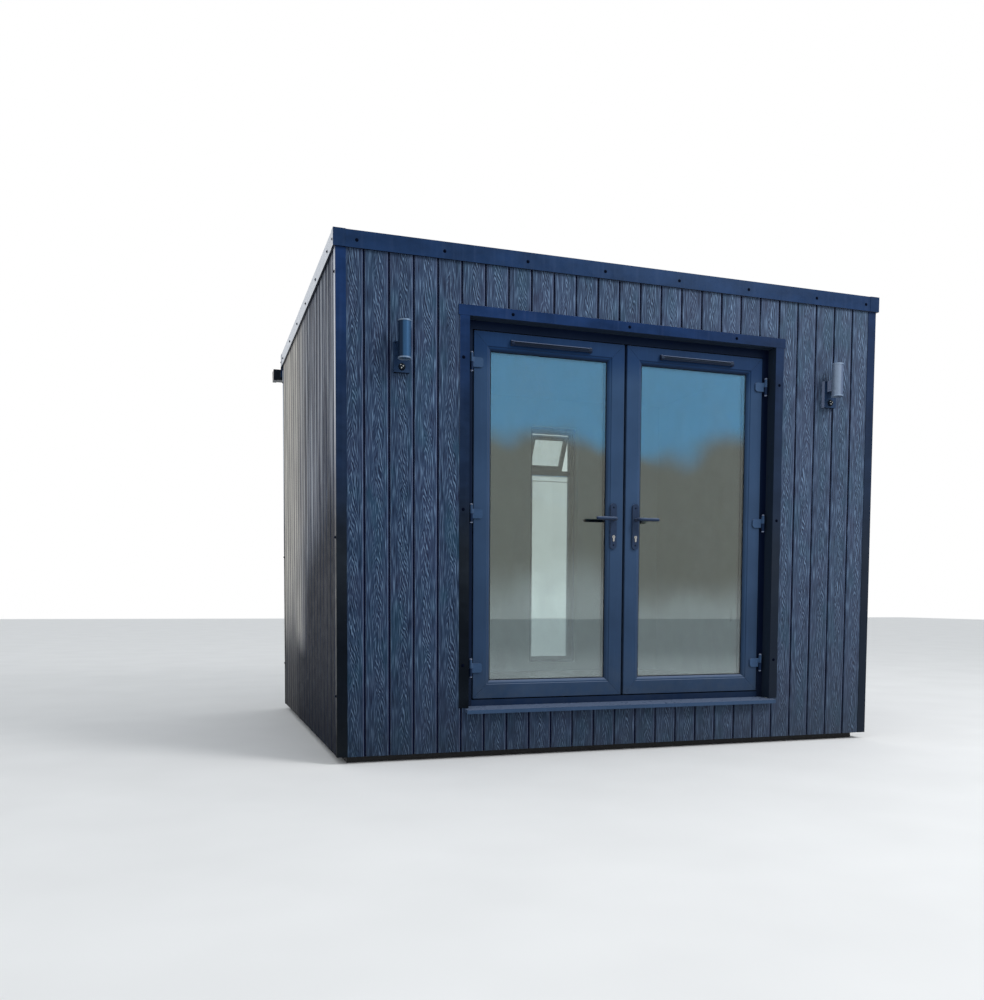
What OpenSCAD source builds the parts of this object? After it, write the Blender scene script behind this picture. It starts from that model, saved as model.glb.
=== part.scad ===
// Garden office pod: a flat-roofed timber-floored room with insulated panel walls,
// composite cladding, folded metal trims and a pair of glazed doors that open outwards.
// The origin is the centre of the footprint on the ground. The front faces -Y.

/* [Building] */
// Width over the corner trims
body_w = 3050; // [2900:10:3500]
// Depth over the corner trims
body_d = 2400; // [2200:10:3000]
// Height from the ground to the top of the fascia
body_h = 2500; // [2200:10:2800]
// Height of the floor above the ground
floor_h = 240; // [220:5:280]
// Depth of the roof from the fascia top down to the ceiling
roof_depth = 190; // [150:5:260]

/* [Base] */
// Height of the bearers under the floor
bearer_h = 100; // [80:5:140]
// Width of one bearer
bearer_w = 50; // [40:5:75]
// Number of joists, the two outer ones included
joist_count = 11; // [11:2:13]
// Distance of the base in from the face of the wall panels
base_inset = 30; // [10:5:60]

/* [Walls] */
// Thickness of the insulated wall panels
wall_t = 120; // [100:5:150]
// Thickness of the cladding boards
clad_t = 22; // [18:1:28]
// Gap between the ground and the cladding
clad_gap = 35; // [20:5:60]

/* [Trims] */
// Thickness of the folded trims
trim_t = 3; // [2:0.5:4]
// Width of a corner trim on each face
corner_w = 50; // [35:5:70]
// Width of the trim round the doorway
door_trim_w = 50; // [35:5:70]

/* [Fascia and roof] */
// Height of the fascia
fascia_h = 80; // [70:5:110]
// Distance of the fascia out from the corner trims
fascia_out = 10; // [6:1:20]
// Width of the fold over the roof edge
fascia_fold = 45; // [30:5:60]
// Length of a fascia corner cap along each face
cap_len = 58; // [40:2:80]
// Fall of the roof from front to rear
roof_fall = 50; // [30:5:60]
// Thickness of the roof membrane
membrane_t = 3; // [2:0.5:5]
// Width of the timber kerb at the roof edge
kerb_w = 40; // [30:5:60]
// Depth of the roof surface below the fascia top at the front
roof_drop = 20; // [15:1:30]

/* [Doorway] */
// Width of the doorway in the wall
door_w = 1750; // [1600:10:1900]
// Height of the wall between the doorway head and the ceiling
head_wall = 138; // [120:2:180]
// Distance of the frame face in from the trim face
reveal = 70; // [60:1:80]
// Depth of the door frame
frame_d = 70; // [70:1:75]
// Width of the frame at the jambs
frame_jamb_w = 39; // [34:1:50]
// Width of the frame at the head
frame_head_w = 46; // [40:1:55]
// Height of the threshold
frame_foot_w = 45; // [40:1:55]
// Width by which the stop stands in from the frame
stop_w = 18; // [12:1:22]
// Thickness of the stop behind the doors
stop_t = 8; // [6:1:8]

/* [Doors] */
// Clearance between a door and its frame
door_gap = 5; // [5:0.5:8]
// Gap between the two doors
meeting_gap = 16; // [16:1:20]
// Width of the sealing strip in the gap
strip_w = 7; // [4:1:8]
// Thickness of a door
door_t = 62; // [58:1:64]
// Distance of the door face out from the frame face
door_out = 5; // [3:1:6]
// Width of the flat face of the rails and stiles
rail_w = 75; // [60:1:85]
// Width of the moulded bead round the glass
bead_w = 18; // [14:1:22]
// Thickness of the sealed glass unit
glass_t = 24; // [20:1:28]
// Depth of the glass behind the door face
glass_in = 20; // [14:1:20]
// Distance by which the glass enters its rebate
glass_grip = 11; // [8:1:12]
// Opening angle of the doors, for the drawing only
door_angle = 0; // [0:5:100]

/* [Sill] */
// Distance of the sill nose out from the trims
sill_out = 40; // [25:1:60]
// Height of the sill nose
sill_nose = 19; // [14:1:26]
// Distance by which the sill runs past the doorway at each end
sill_horn = 15; // [8:1:30]
// Fall of the sill from back to nose
sill_fall = 7; // [4:1:12]

/* [Hinges] */
// Number of hinges on a door
hinge_count = 3; // [2:1:4]
// Height of a hinge barrel
hinge_h = 82; // [60:2:100]
// Height of a hinge leaf
leaf_h = 48; // [40:2:56]
// Radius of the hinge barrel
barrel_r = 8; // [6:0.5:9]
// Radius of the hinge pin
pin_r = 4; // [3:0.5:5]
// Distance of the hinge axis out from the door face
hinge_out = 12; // [11:0.5:14]
// Distance of the hinge axis out from the edge of the door
hinge_side = 15; // [12:1:18]
// Length of a door leaf from the hinge axis
leaf_len = 62; // [50:1:70]
// Thickness of a door leaf
flag_t = 8; // [5:1:9]
// Radius of the corners of a door leaf
leaf_corner = 14; // [6:1:18]
// Length of the frame leaf from the hinge axis
frame_leaf_len = 20; // [18:1:21]
// Thickness of a frame leaf
leaf_t = 3; // [2:0.5:3]
// Distance of the end hinges from the ends of the door
hinge_end = 116; // [90:2:200]
// Distance of the middle hinges above their even spacing
hinge_lift = 14; // [0:1:30]

/* [Handles] */
// Height of a handle plate
plate_h = 240; // [200:5:260]
// Width of a handle plate
plate_w = 36; // [28:1:44]
// Thickness of a handle plate
plate_t = 10; // [6:1:12]
// Height of the lever spindle above the ground
lever_z = 1215; // [1000:5:1400]
// Distance of the spindle in from the meeting edge
backset = 56; // [44:1:60]
// Length of a lever
lever_len = 118; // [90:1:130]
// Radius of the lever bar
lever_r = 9; // [7:0.5:11]
// Distance of the lever axis out from the plate
lever_out = 42; // [34:1:50]
// Radius of the spindle
spindle_r = 5; // [4:0.5:6]
// Distance from the spindle down to the key cylinder
key_drop = 92; // [72:1:100]
// Radius of the key cylinder
key_r = 8.5; // [7:0.5:10]

/* [Vents] */
// Length of a vent canopy
vent_len = 440; // [300:10:500]
// Height of a vent canopy
vent_h = 27; // [20:1:34]
// Depth of a vent canopy
vent_d = 18; // [12:1:24]

/* [Wall lights] */
// Distance of a light from the middle of the front
light_x = 1214; // [1100:2:1300]
// Distance of the middle of a light tube below the ceiling
light_drop = 307; // [220:1:500]
// Length of a light tube
tube_len = 178; // [150:2:240]
// Radius of a light tube
tube_r = 30; // [28:1:40]
// Height of the rim at each end of a light tube
rim_h = 8; // [5:1:14]
// Wall of a light tube
tube_wall = 3; // [2:0.5:4]
// Distance of the tube axis out from the cladding
tube_out = 80; // [64:1:100]
// Width of the wall plate
lamp_plate_w = 76; // [70:1:96]
// Height of the wall plate
lamp_plate_h = 144; // [120:2:170]
// Depth of the wall plate
lamp_plate_d = 24; // [16:1:28]
// Radius of the sensor dome
sensor_r = 17; // [12:1:20]

/* [Rear window] */
// Distance of the window from the middle, to the right seen from the front
win_x = 495; // [300:5:700]
// Width of the window
win_w = 390; // [340:10:480]
// Height of the underside of the window above the ground
win_z = 306; // [280:2:600]
// Distance of the window head below the ceiling
win_drop = 204; // [170:2:400]
// Height of the fanlight opening above the transom
fan_h = 280; // [200:10:400]
// Angle at which the fanlight stands open
fan_angle = 28; // [0:1:40]
// Width of the fanlight's own frame
fan_w = 30; // [24:1:36]
// Thickness of the fanlight
fan_t = 34; // [28:1:38]
// Length of each leg of a fanlight stay
stay_len = 120; // [80:5:180]
// Width of a fanlight stay
stay_w = 14; // [10:1:18]
// Width of the window frame members
win_frame_w = 42; // [34:1:50]
// Depth of the window frame
win_frame_d = 62; // [56:1:70]
// Distance of the window frame in from the cladding face
win_reveal = 20; // [10:1:40]

/* [Gutter] */
// Width of the gutter at the top
gutter_w = 104; // [90:1:120]
// Width of the gutter at the bottom
gutter_foot_w = 76; // [66:1:88]
// Depth of the gutter
gutter_d = 70; // [60:1:80]
// Thickness of the gutter
gutter_t = 3; // [2:0.5:4]
// Distance by which the gutter runs past the side walls
gutter_past = 60; // [30:5:90]
// Length of the joint and of the end caps of the gutter
gutter_cap_len = 26; // [20:1:36]
// Number of gutter brackets on each half
bracket_count = 2; // [2:1:3]
// Radius of the downpipe
pipe_r = 34; // [28:1:38]
// Height of the foot of the downpipe above the ground
pipe_foot = 60; // [40:5:160]

/* [Sockets] */
// Height of the sockets above the floor
socket_up = 450; // [300:5:500]
// Side of a single socket plate
socket_s = 86; // [80:1:90]
// Width of a double socket plate
socket_w2 = 146; // [140:1:150]
// Depth of a socket plate
socket_d = 9; // [7:1:12]
// Distance of the single socket from the middle of the rear wall
socket_x = 30; // [-400:5:150]
// Distance of the double socket behind the middle of the right wall
socket_y = 50; // [-400:5:600]

/* [Hidden] */
$fn = 64;

// Faces of the walls, measured from the middle of the footprint
clad_x = body_w / 2 - trim_t;
clad_y = body_d / 2 - trim_t;
wall_x = clad_x - clad_t;
wall_y = clad_y - clad_t;
room_x = wall_x - wall_t;
room_y = wall_y - wall_t;

// Roof levels
ceiling_h = body_h - roof_depth;
lap_rise = 0.6;
lap_in = 15;
cap_t = 1.5;
kerb_top = body_h - trim_t;
roof_front_z = body_h - roof_drop;
roof_rear_z = roof_front_z - roof_fall;
fascia_face_x = body_w / 2 + fascia_out;
fascia_face_y = body_d / 2 + fascia_out;
fascia_z = body_h - fascia_h;
clad_top = fascia_z + fascia_h / 2;
rear_fascia_top = roof_rear_z + trim_t + lap_rise;
rear_fascia_z = rear_fascia_top - fascia_h;
rear_clad_top = rear_fascia_z + fascia_h / 2;

// Doorway and door sizes
door_head_h = ceiling_h - head_wall;
frame_y = -body_d / 2 + reveal;
frame_back = frame_y + frame_d;
stop_y = frame_back - stop_t;
door_y = frame_y - door_out;
door_back = door_y + door_t;
door_z = floor_h + frame_foot_w + door_gap;
door_top = door_head_h - frame_head_w - door_gap;
door_h = door_top - door_z;
door_edge = door_w / 2 - frame_jamb_w - door_gap;
leaf_w = door_edge - meeting_gap / 2;
hinge_x = door_edge + hinge_side;
hinge_y = door_y - hinge_out;
spindle_x = meeting_gap / 2 + backset;
seat_gap = 0.3;

// Rear window and wall lights
win_top = ceiling_h - win_drop;
win_h = win_top - win_z;
win_y = clad_y - win_reveal - win_frame_d;
pane_t = win_frame_d / 3;
pane_in = win_frame_w - pane_t;
rail_z = win_h - win_frame_w - fan_h;
fan_gap = 4;
fan_open_w = win_w - 2 * (win_frame_w + fan_gap);
fan_open_h = fan_h - 2 * fan_gap;
light_z = ceiling_h - light_drop;

// Sill levels
sill_top = floor_h + 13;
sill_under = floor_h - 8;
sill_front = body_d / 2 + sill_out;

// Hinge heights on a door
hinge_step = (door_h - 2 * hinge_end - hinge_h) / (hinge_count - 1);
hinge_zs = [for (i = [0 : hinge_count - 1]) door_z + hinge_end + i * hinge_step
    + (i > 0 && i < hinge_count - 1 ? hinge_lift : 0)];
washer = 0.5;

// Gutter place
gutter_y = fascia_face_y + cap_t + seat_gap + gutter_w / 2;
gutter_drop = 28;
gutter_top = rear_fascia_top - gutter_drop;
gutter_end = body_w / 2 + gutter_past;
gutter_low = gutter_top - gutter_d;
pipe_in = 160;
pipe_x = body_w / 2 - pipe_in;
spigot_r = pipe_r - gutter_t - seat_gap;
spigot_len = 40;
pipe_top = gutter_low - gutter_t - seat_gap;
clip_h = 30;

// Bar along X with a profile of (depth, height) points, mitred at both ends.
module mitred_bar(len, reach, profile) {
    intersection() {
        rotate([90, 0, 90])
            linear_extrude(height = len)
                polygon(profile);
        translate([0, 2 * reach, 0])
            rotate([90, 0, 0])
                linear_extrude(height = 4 * reach)
                    polygon([[0, 0], [len, 0], [len - reach, reach], [reach, reach]]);
    }
}

// The same bar standing upright, with its height turned towards +X.
module mitred_post(len, reach, profile) {
    mirror([1, 0, 0])
        rotate([0, -90, 0])
            mitred_bar(len, reach, profile);
}

// Rectangular ring of four mitred bars, seen in the XZ plane.
module ring(w, h, reach, profile) {
    mitred_bar(w, reach, profile);
    translate([0, 0, h])
        mirror([0, 0, 1])
            mitred_bar(w, reach, profile);
    mitred_post(h, reach, profile);
    translate([w, 0, 0])
        mirror([1, 0, 0])
            mitred_post(h, reach, profile);
}

// Box given by its low and high corners.
module block(low, high) {
    translate(low)
        cube([high[0] - low[0], high[1] - low[1], high[2] - low[2]]);
}

// The shape and its mirror image in the middle plane of the building.
module both_sides() {
    children();
    mirror([1, 0, 0])
        children();
}

// Rounded plate in the XZ plane, its back at y = 0 and its face towards -Y.
module stadium_plate(w, h, t) {
    rotate([90, 0, 0])
        linear_extrude(height = t)
            union() {
                square([w, h - w], center = true);
                translate([0, (h - w) / 2])
                    circle(d = w);
                translate([0, -(h - w) / 2])
                    circle(d = w);
            }
}

// Base and floor

module base_frame() {
    bx = wall_x - base_inset;
    by = wall_y - base_inset;
    step = (2 * bx - bearer_w) / (joist_count - 1);
    color("#6b5b45")
        union() {
            for (i = [0 : joist_count - 1])
                translate([-bx + i * step, -by, 0])
                    cube([bearer_w, 2 * by, bearer_h]);
            for (y = [-by, by - bearer_w])
                translate([-bx, y, 0])
                    cube([2 * bx, bearer_w, bearer_h]);
        }
}

module floor_deck() {
    color("#5a5148")
        block([-wall_x, -wall_y, bearer_h], [wall_x, wall_y, floor_h]);
}

// Wall panels

module front_wall_side() {
    block([door_w / 2, -wall_y, floor_h], [room_x, -room_y, ceiling_h]);
}

module front_wall_left() {
    color("#e8e6e0")
        mirror([1, 0, 0])
            front_wall_side();
}

module front_wall_right() {
    color("#e8e6e0")
        front_wall_side();
}

module front_wall_over_door() {
    color("#e8e6e0")
        block([-door_w / 2, -wall_y, door_head_h], [door_w / 2, -room_y, ceiling_h]);
}

module side_wall() {
    block([room_x, -wall_y, floor_h], [wall_x, wall_y, ceiling_h]);
}

module left_wall() {
    color("#e8e6e0")
        mirror([1, 0, 0])
            side_wall();
}

module right_wall() {
    color("#e8e6e0")
        side_wall();
}

// Opening for the rear window through everything between two depths.
module window_hole(y0, y1) {
    block([win_x - win_w / 2, y0, win_z], [win_x + win_w / 2, y1, win_z + win_h]);
}

module rear_wall_left() {
    color("#e8e6e0")
        difference() {
            block([-room_x, room_y, floor_h], [win_x, wall_y, ceiling_h]);
            window_hole(room_y - wall_t, wall_y + wall_t);
        }
}

module rear_wall_right() {
    color("#e8e6e0")
        difference() {
            block([win_x, room_y, floor_h], [room_x, wall_y, ceiling_h]);
            window_hole(room_y - wall_t, wall_y + wall_t);
        }
}

// Cladding

module front_cladding_side() {
    block([door_w / 2, -clad_y, clad_gap], [clad_x, -wall_y, clad_top]);
}

module front_cladding_left() {
    color("#3a4048")
        mirror([1, 0, 0])
            front_cladding_side();
}

module front_cladding_right() {
    color("#3a4048")
        front_cladding_side();
}

module front_cladding_over_door() {
    color("#3a4048")
        block([-door_w / 2, -clad_y, door_head_h], [door_w / 2, -wall_y, clad_top]);
}

module front_cladding_under_door() {
    color("#3a4048")
        block([-door_w / 2, -clad_y, clad_gap], [door_w / 2, -wall_y, sill_under]);
}

module side_cladding() {
    block([wall_x, -wall_y, clad_gap], [clad_x, wall_y, clad_top]);
}

module left_cladding() {
    color("#3a4048")
        mirror([1, 0, 0])
            side_cladding();
}

module right_cladding() {
    color("#3a4048")
        side_cladding();
}

module rear_cladding_left() {
    color("#3a4048")
        difference() {
            block([-clad_x, wall_y, clad_gap], [win_x, clad_y, rear_clad_top]);
            window_hole(wall_y - clad_t, clad_y + clad_t);
        }
}

module rear_cladding_right() {
    color("#3a4048")
        difference() {
            block([win_x, wall_y, clad_gap], [clad_x, clad_y, rear_clad_top]);
            window_hole(wall_y - clad_t, clad_y + clad_t);
        }
}

// Roof

module roof_deck() {
    color("#dcdad4")
        union() {
            rotate([90, 0, 90])
                translate([0, 0, -wall_x])
                    linear_extrude(height = 2 * wall_x)
                        polygon([[-wall_y, ceiling_h], [wall_y, ceiling_h],
                            [wall_y, roof_rear_z - membrane_t],
                            [-wall_y, roof_front_z - membrane_t]]);
            block([-wall_x, -wall_y, ceiling_h], [wall_x, kerb_w - wall_y, kerb_top]);
            both_sides()
                block([wall_x - kerb_w, -wall_y, ceiling_h], [wall_x, wall_y, kerb_top]);
        }
}

module roof_membrane() {
    y0 = kerb_w - wall_y;
    slope = roof_fall / (2 * wall_y);
    z0 = roof_front_z - slope * kerb_w;
    color("#24262a")
        rotate([90, 0, 90])
            translate([0, 0, kerb_w - wall_x])
                linear_extrude(height = 2 * (wall_x - kerb_w))
                    polygon([[y0, z0 - membrane_t], [y0, z0],
                        [wall_y, roof_rear_z], [wall_y, roof_rear_z - membrane_t]]);
}

// Trims

// Folded angle standing at a corner, its outer faces on the X and Y axes.
module corner_angle(top) {
    linear_extrude(height = top - clad_gap)
        polygon([[0, 0], [-corner_w, 0], [-corner_w, trim_t], [-trim_t, trim_t],
            [-trim_t, corner_w], [0, corner_w]]);
}

module corner_trims() {
    color("#2c3138")
        both_sides() {
            translate([body_w / 2, -body_d / 2, clad_gap])
                corner_angle(clad_top);
            translate([body_w / 2, body_d / 2, clad_gap])
                mirror([0, 1, 0])
                    corner_angle(rear_clad_top);
        }
}

// Folded fascia section: face at depth 0, bottom lip, face and fold over the roof edge.
function fascia_section(reach, h) = [
    [0, 0], [fascia_out, 0], [fascia_out, trim_t], [trim_t, trim_t],
    [trim_t, h - trim_t], [reach, h - trim_t], [reach, h], [0, h]];

fascia_reach = fascia_out + fascia_fold;

module front_fascia() {
    len = 2 * fascia_face_x;
    color("#262b33")
        translate([-fascia_face_x, -fascia_face_y, fascia_z])
            intersection() {
                rotate([90, 0, 90])
                    linear_extrude(height = len)
                        polygon(fascia_section(fascia_reach, fascia_h));
                linear_extrude(height = fascia_h)
                    polygon([[0, 0], [len, 0], [len - fascia_reach, fascia_reach],
                        [fascia_reach, fascia_reach]]);
            }
}

// Side fascia, mitred at the front and square at the rear.
module side_fascia() {
    len = 2 * fascia_face_y;
    translate([fascia_face_x, -fascia_face_y, fascia_z])
        rotate([0, 0, 90])
            intersection() {
                rotate([90, 0, 90])
                    linear_extrude(height = len)
                        polygon(fascia_section(fascia_reach, fascia_h));
                linear_extrude(height = fascia_h)
                    polygon([[0, 0], [len, 0], [len, fascia_reach],
                        [fascia_reach, fascia_reach]]);
            }
}

module left_fascia() {
    color("#262b33")
        mirror([1, 0, 0])
            side_fascia();
}

module right_fascia() {
    color("#262b33")
        side_fascia();
}

// Rear fascia, lower than the others, with its fold lapped on the roof membrane.
module rear_fascia() {
    half = fascia_face_x - fascia_out;
    lap_x = wall_x - kerb_w;
    color("#262b33")
        union() {
            block([-half, fascia_face_y - trim_t, rear_fascia_z],
                [half, fascia_face_y, rear_fascia_top]);
            block([-half, fascia_face_y - fascia_out, rear_fascia_z],
                [half, fascia_face_y, rear_fascia_z + trim_t]);
            block([-lap_x, wall_y - lap_in, rear_fascia_top - trim_t],
                [lap_x, fascia_face_y, rear_fascia_top]);
        }
}

// Cap over a fascia corner, with its outer faces on the X and Y axes.
module fascia_cap(drop) {
    difference() {
        translate([-cap_len, 0, 0])
            cube([cap_len + cap_t, cap_len, fascia_h + cap_t]);
        translate([-cap_len - cap_t, cap_t, -cap_t])
            cube([cap_len + cap_t, cap_len + cap_t, fascia_h + cap_t]);
    }
    translate([-cap_len, 0, -drop])
        cube([cap_len + cap_t, cap_t, drop + cap_t]);
}

module fascia_caps() {
    color("#20252c")
        both_sides() {
            translate([fascia_face_x, -fascia_face_y - cap_t, fascia_z])
                fascia_cap(0);
            translate([fascia_face_x, fascia_face_y + cap_t, fascia_z])
                mirror([0, 1, 0])
                    fascia_cap(fascia_z - rear_fascia_z);
        }
}

module door_trims() {
    inner = door_w / 2 - trim_t;
    outer = inner + door_trim_w;
    low = door_head_h - trim_t;
    color("#2c3138") {
        both_sides()
            union() {
                block([inner, -body_d / 2, sill_top], [outer, -clad_y, low - seat_gap]);
                block([inner, -body_d / 2, sill_top], [door_w / 2, frame_y, low - seat_gap]);
            }
        union() {
            block([-outer, -body_d / 2, low], [outer, -clad_y, low + door_trim_w]);
            block([-door_w / 2, -body_d / 2, low], [door_w / 2, frame_y, door_head_h]);
        }
    }
}

// Door frame

module door_frame_jambs() {
    inner = door_w / 2 - frame_jamb_w;
    color("#39414c")
        both_sides()
            union() {
                block([inner, frame_y, floor_h], [door_w / 2, frame_back, door_head_h]);
                block([inner - stop_w, stop_y, floor_h], [door_w / 2, frame_back, door_head_h]);
            }
}

module door_frame_head() {
    inner = door_w / 2 - frame_jamb_w;
    low = door_head_h - frame_head_w;
    color("#39414c")
        union() {
            block([-inner, frame_y, low], [inner, stop_y, door_head_h]);
            block([stop_w - inner, frame_y, low], [inner - stop_w, frame_back, door_head_h]);
            block([stop_w - inner, stop_y, low - stop_w],
                [inner - stop_w, frame_back, door_head_h]);
        }
}

module door_threshold() {
    inner = door_w / 2 - frame_jamb_w;
    top = floor_h + frame_foot_w;
    color("#39414c")
        union() {
            block([-inner, frame_y, floor_h], [inner, stop_y, top]);
            block([stop_w - inner, stop_y, floor_h], [inner - stop_w, frame_back, top + stop_w]);
        }
}

// Sloped sill with a drip under its nose.
module door_sill() {
    nose_top = sill_top - sill_fall;
    nose_low = nose_top - sill_nose;
    drip = 6;
    color("#46505c") {
        translate([-door_w / 2, 0, 0])
            rotate([90, 0, 90])
                linear_extrude(height = door_w)
                    polygon([[-sill_front, nose_low], [drip - sill_front, nose_low],
                        [drip - sill_front, sill_under], [-wall_y, sill_under],
                        [-wall_y, floor_h], [frame_y, floor_h], [frame_y, sill_top],
                        [-sill_front, nose_top]]);
        both_sides()
            translate([door_w / 2, 0, 0])
                rotate([90, 0, 90])
                    linear_extrude(height = sill_horn)
                        polygon([[-sill_front, nose_low], [drip - sill_front, nose_low],
                            [drip - sill_front, sill_under],
                            [-body_d / 2 - seat_gap, sill_under],
                            [-body_d / 2 - seat_gap, sill_top - sill_fall / 2],
                            [-sill_front, nose_top]]);
    }
}

// Rear window

// Fixed frame with its rail under the fanlight, and a glazing rebate below the rail.
module rear_window_frame() {
    chamfer = pane_t / 4;
    section = [[0, 0], [0, pane_in], [pane_t, pane_in], [pane_t, win_frame_w],
        [win_frame_d - chamfer, win_frame_w], [win_frame_d, win_frame_w - chamfer],
        [win_frame_d, 0]];
    color("#39414c")
        translate([win_x - win_w / 2, win_y, win_z])
            union() {
                ring(win_w, win_h, win_frame_w, section);
                translate([pane_in, pane_t, rail_z - win_frame_w])
                    cube([win_w - 2 * pane_in, win_frame_d - pane_t - chamfer, win_frame_w]);
            }
}

// Middle of the outer top edge of the fanlight, about which it opens.
fan_pivot = [win_x, clad_y - win_reveal, win_z + win_h - win_frame_w - fan_gap];

// Places a shape drawn in the fanlight's own axes, from its inner lower left corner.
module fan_place() {
    translate(fan_pivot)
        rotate([fan_angle, 0, 0])
            translate([-fan_open_w / 2, -fan_t, -fan_open_h])
                children();
}

// Top-hung fanlight, fixed at the angle at which it stands open.
module rear_fanlight() {
    color("#39414c")
        fan_place()
            ring(fan_open_w, fan_open_h, fan_w, [[0, 0], [0, fan_w], [fan_t / 4, fan_w],
                [fan_t / 4, fan_w / 2], [3 * fan_t / 4, fan_w / 2],
                [3 * fan_t / 4, fan_w], [fan_t, 3 * fan_w / 4], [fan_t, 0]]);
}

// Stays in the gap at each side of the fanlight: a track on the frame, an arm on the sash.
module fanlight_stays() {
    color("#8d9299")
        for (x = [-fan_open_w / 2 - fan_gap + seat_gap, fan_open_w / 2 + seat_gap])
            translate(fan_pivot)
                rotate([90, 0, 90])
                    translate([0, 0, x])
                        linear_extrude(height = fan_gap - 2 * seat_gap)
                            union() {
                                for (angle = [0, fan_angle])
                                    rotate(angle)
                                        translate([-(fan_t + stay_w) / 2, -stay_len])
                                            square([stay_w, stay_len]);
                            }
}

module rear_window_glass() {
    fan_in = fan_w / 2 + seat_gap;
    color("#9fb4bd", 0.5) {
        translate([win_x - win_w / 2 + pane_in + seat_gap, win_y, win_z + pane_in + seat_gap])
            cube([win_w - 2 * (pane_in + seat_gap), pane_t - seat_gap,
                rail_z - win_frame_w - pane_in - 2 * seat_gap]);
        fan_place()
            translate([fan_in, fan_t / 4, fan_in])
                cube([fan_open_w - 2 * fan_in, fan_t / 2, fan_open_h - 2 * fan_in]);
    }
}

// Gutter

// Outline of the trough as (depth, height) about the middle of its bottom, grown at the
// bottom and outer side, at the side next to the fascia, and at the top.
module gutter_outline(grow, fascia_side, rise) {
    polygon([[-gutter_w / 2 - fascia_side, gutter_d + rise],
        [-gutter_foot_w / 2 - fascia_side, -grow], [gutter_foot_w / 2 + grow, -grow],
        [gutter_w / 2 + grow, gutter_d + rise]]);
}

module along_gutter(x, len) {
    translate([x, gutter_y, gutter_low])
        rotate([90, 0, 90])
            linear_extrude(height = len)
                children();
}

// Right half of the trough, with its end cap and brackets, up to the middle joint.
module gutter_half() {
    strap = 20;
    step = (body_w / 2 - corner_w) / (bracket_count - 0.5);
    along_gutter(0, gutter_end)
        gutter_outline(0, 0, 0);
    along_gutter(gutter_end - gutter_cap_len, gutter_cap_len)
        gutter_outline(gutter_t, 0, 0);
    along_gutter(0, gutter_cap_len)
        gutter_outline(gutter_t, 0, 0);
    for (i = [0 : bracket_count - 1])
        along_gutter(body_w / 2 - corner_w - i * step - strap / 2, strap)
            gutter_outline(gutter_t, 0, 0);
}

// What the trough is hollowed by, past the middle joint.
module gutter_hollow() {
    along_gutter(-2 * gutter_cap_len, gutter_end + 2 * gutter_cap_len - gutter_t)
        gutter_outline(-gutter_t, -gutter_t, gutter_t);
}

module gutter_left() {
    color("#15171a")
        mirror([1, 0, 0])
            difference() {
                gutter_half();
                gutter_hollow();
            }
}

// The right half also carries the outlet over the downpipe.
module gutter_right() {
    color("#15171a")
        difference() {
            union() {
                gutter_half();
                translate([pipe_x, gutter_y, gutter_low - spigot_len])
                    cylinder(h = spigot_len + gutter_t, r = spigot_r);
            }
            gutter_hollow();
            translate([pipe_x, gutter_y, gutter_low - 2 * spigot_len])
                cylinder(h = 3 * spigot_len, r = spigot_r - gutter_t);
        }
}

// Clip round the pipe with an arm back to the wall.
module pipe_clip() {
    clip_len = gutter_y - clad_y;
    difference() {
        union() {
            cylinder(h = clip_h, r = pipe_r + gutter_t);
            translate([-pipe_r / 2, -clip_len, 0])
                cube([pipe_r, clip_len, clip_h]);
        }
        translate([0, 0, -clip_h])
            cylinder(h = 3 * clip_h, r = pipe_r - gutter_t / 2);
    }
}

// Open pipe down the rear wall with its foot cut on the slant, away from the wall.
module downpipe() {
    rise = pipe_top - pipe_foot;
    color("#15171a")
        translate([pipe_x, gutter_y, pipe_foot])
            union() {
                difference() {
                    cylinder(h = rise, r = pipe_r);
                    translate([0, 0, -pipe_r])
                        cylinder(h = rise + 2 * pipe_r, r = pipe_r - gutter_t);
                    translate([-2 * pipe_r, -pipe_r, 0])
                        rotate([45, 0, 0])
                            translate([0, 0, -4 * pipe_r])
                                cube([4 * pipe_r, 4 * pipe_r, 4 * pipe_r]);
                }
                for (z = [rise / 4, 3 * rise / 4])
                    translate([0, 0, z])
                        pipe_clip();
            }
}

// Wall lights

lamp_y = -clad_y - tube_out;
lamp_plate_z = light_z - 3 * tube_len / 8;
lamp_face = clad_y + lamp_plate_d;
rim_out = 1.5;

module light_brackets() {
    arm_w = 40;
    arm_h = 60;
    color("#8d9299")
        both_sides()
            difference() {
                union() {
                    translate([light_x - lamp_plate_w / 2, -lamp_face,
                        lamp_plate_z - lamp_plate_h / 2])
                        cube([lamp_plate_w, lamp_plate_d, lamp_plate_h]);
                    translate([light_x - arm_w / 2, lamp_y, lamp_plate_z + lamp_plate_h / 2 - arm_h])
                        cube([arm_w, tube_out - lamp_plate_d, arm_h]);
                    translate([light_x, -lamp_face,
                        lamp_plate_z - lamp_plate_h / 2 + 3 * sensor_r / 2])
                        sphere(sensor_r);
                }
                translate([light_x, lamp_y, light_z - tube_len])
                    cylinder(h = 2 * tube_len, r = tube_r + seat_gap);
            }
}

module light_tubes() {
    recess = 22;
    color("#a9adb3")
        both_sides()
            translate([light_x, lamp_y, light_z - tube_len / 2])
                difference() {
                    union() {
                        cylinder(h = tube_len, r = tube_r);
                        for (z = [0, tube_len - rim_h])
                            translate([0, 0, z])
                                cylinder(h = rim_h, r = tube_r + rim_out);
                    }
                    translate([0, 0, -recess])
                        cylinder(h = 2 * recess, r = tube_r - tube_wall);
                    translate([0, 0, tube_len - recess])
                        cylinder(h = 2 * recess, r = tube_r - tube_wall);
                }
}

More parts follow.
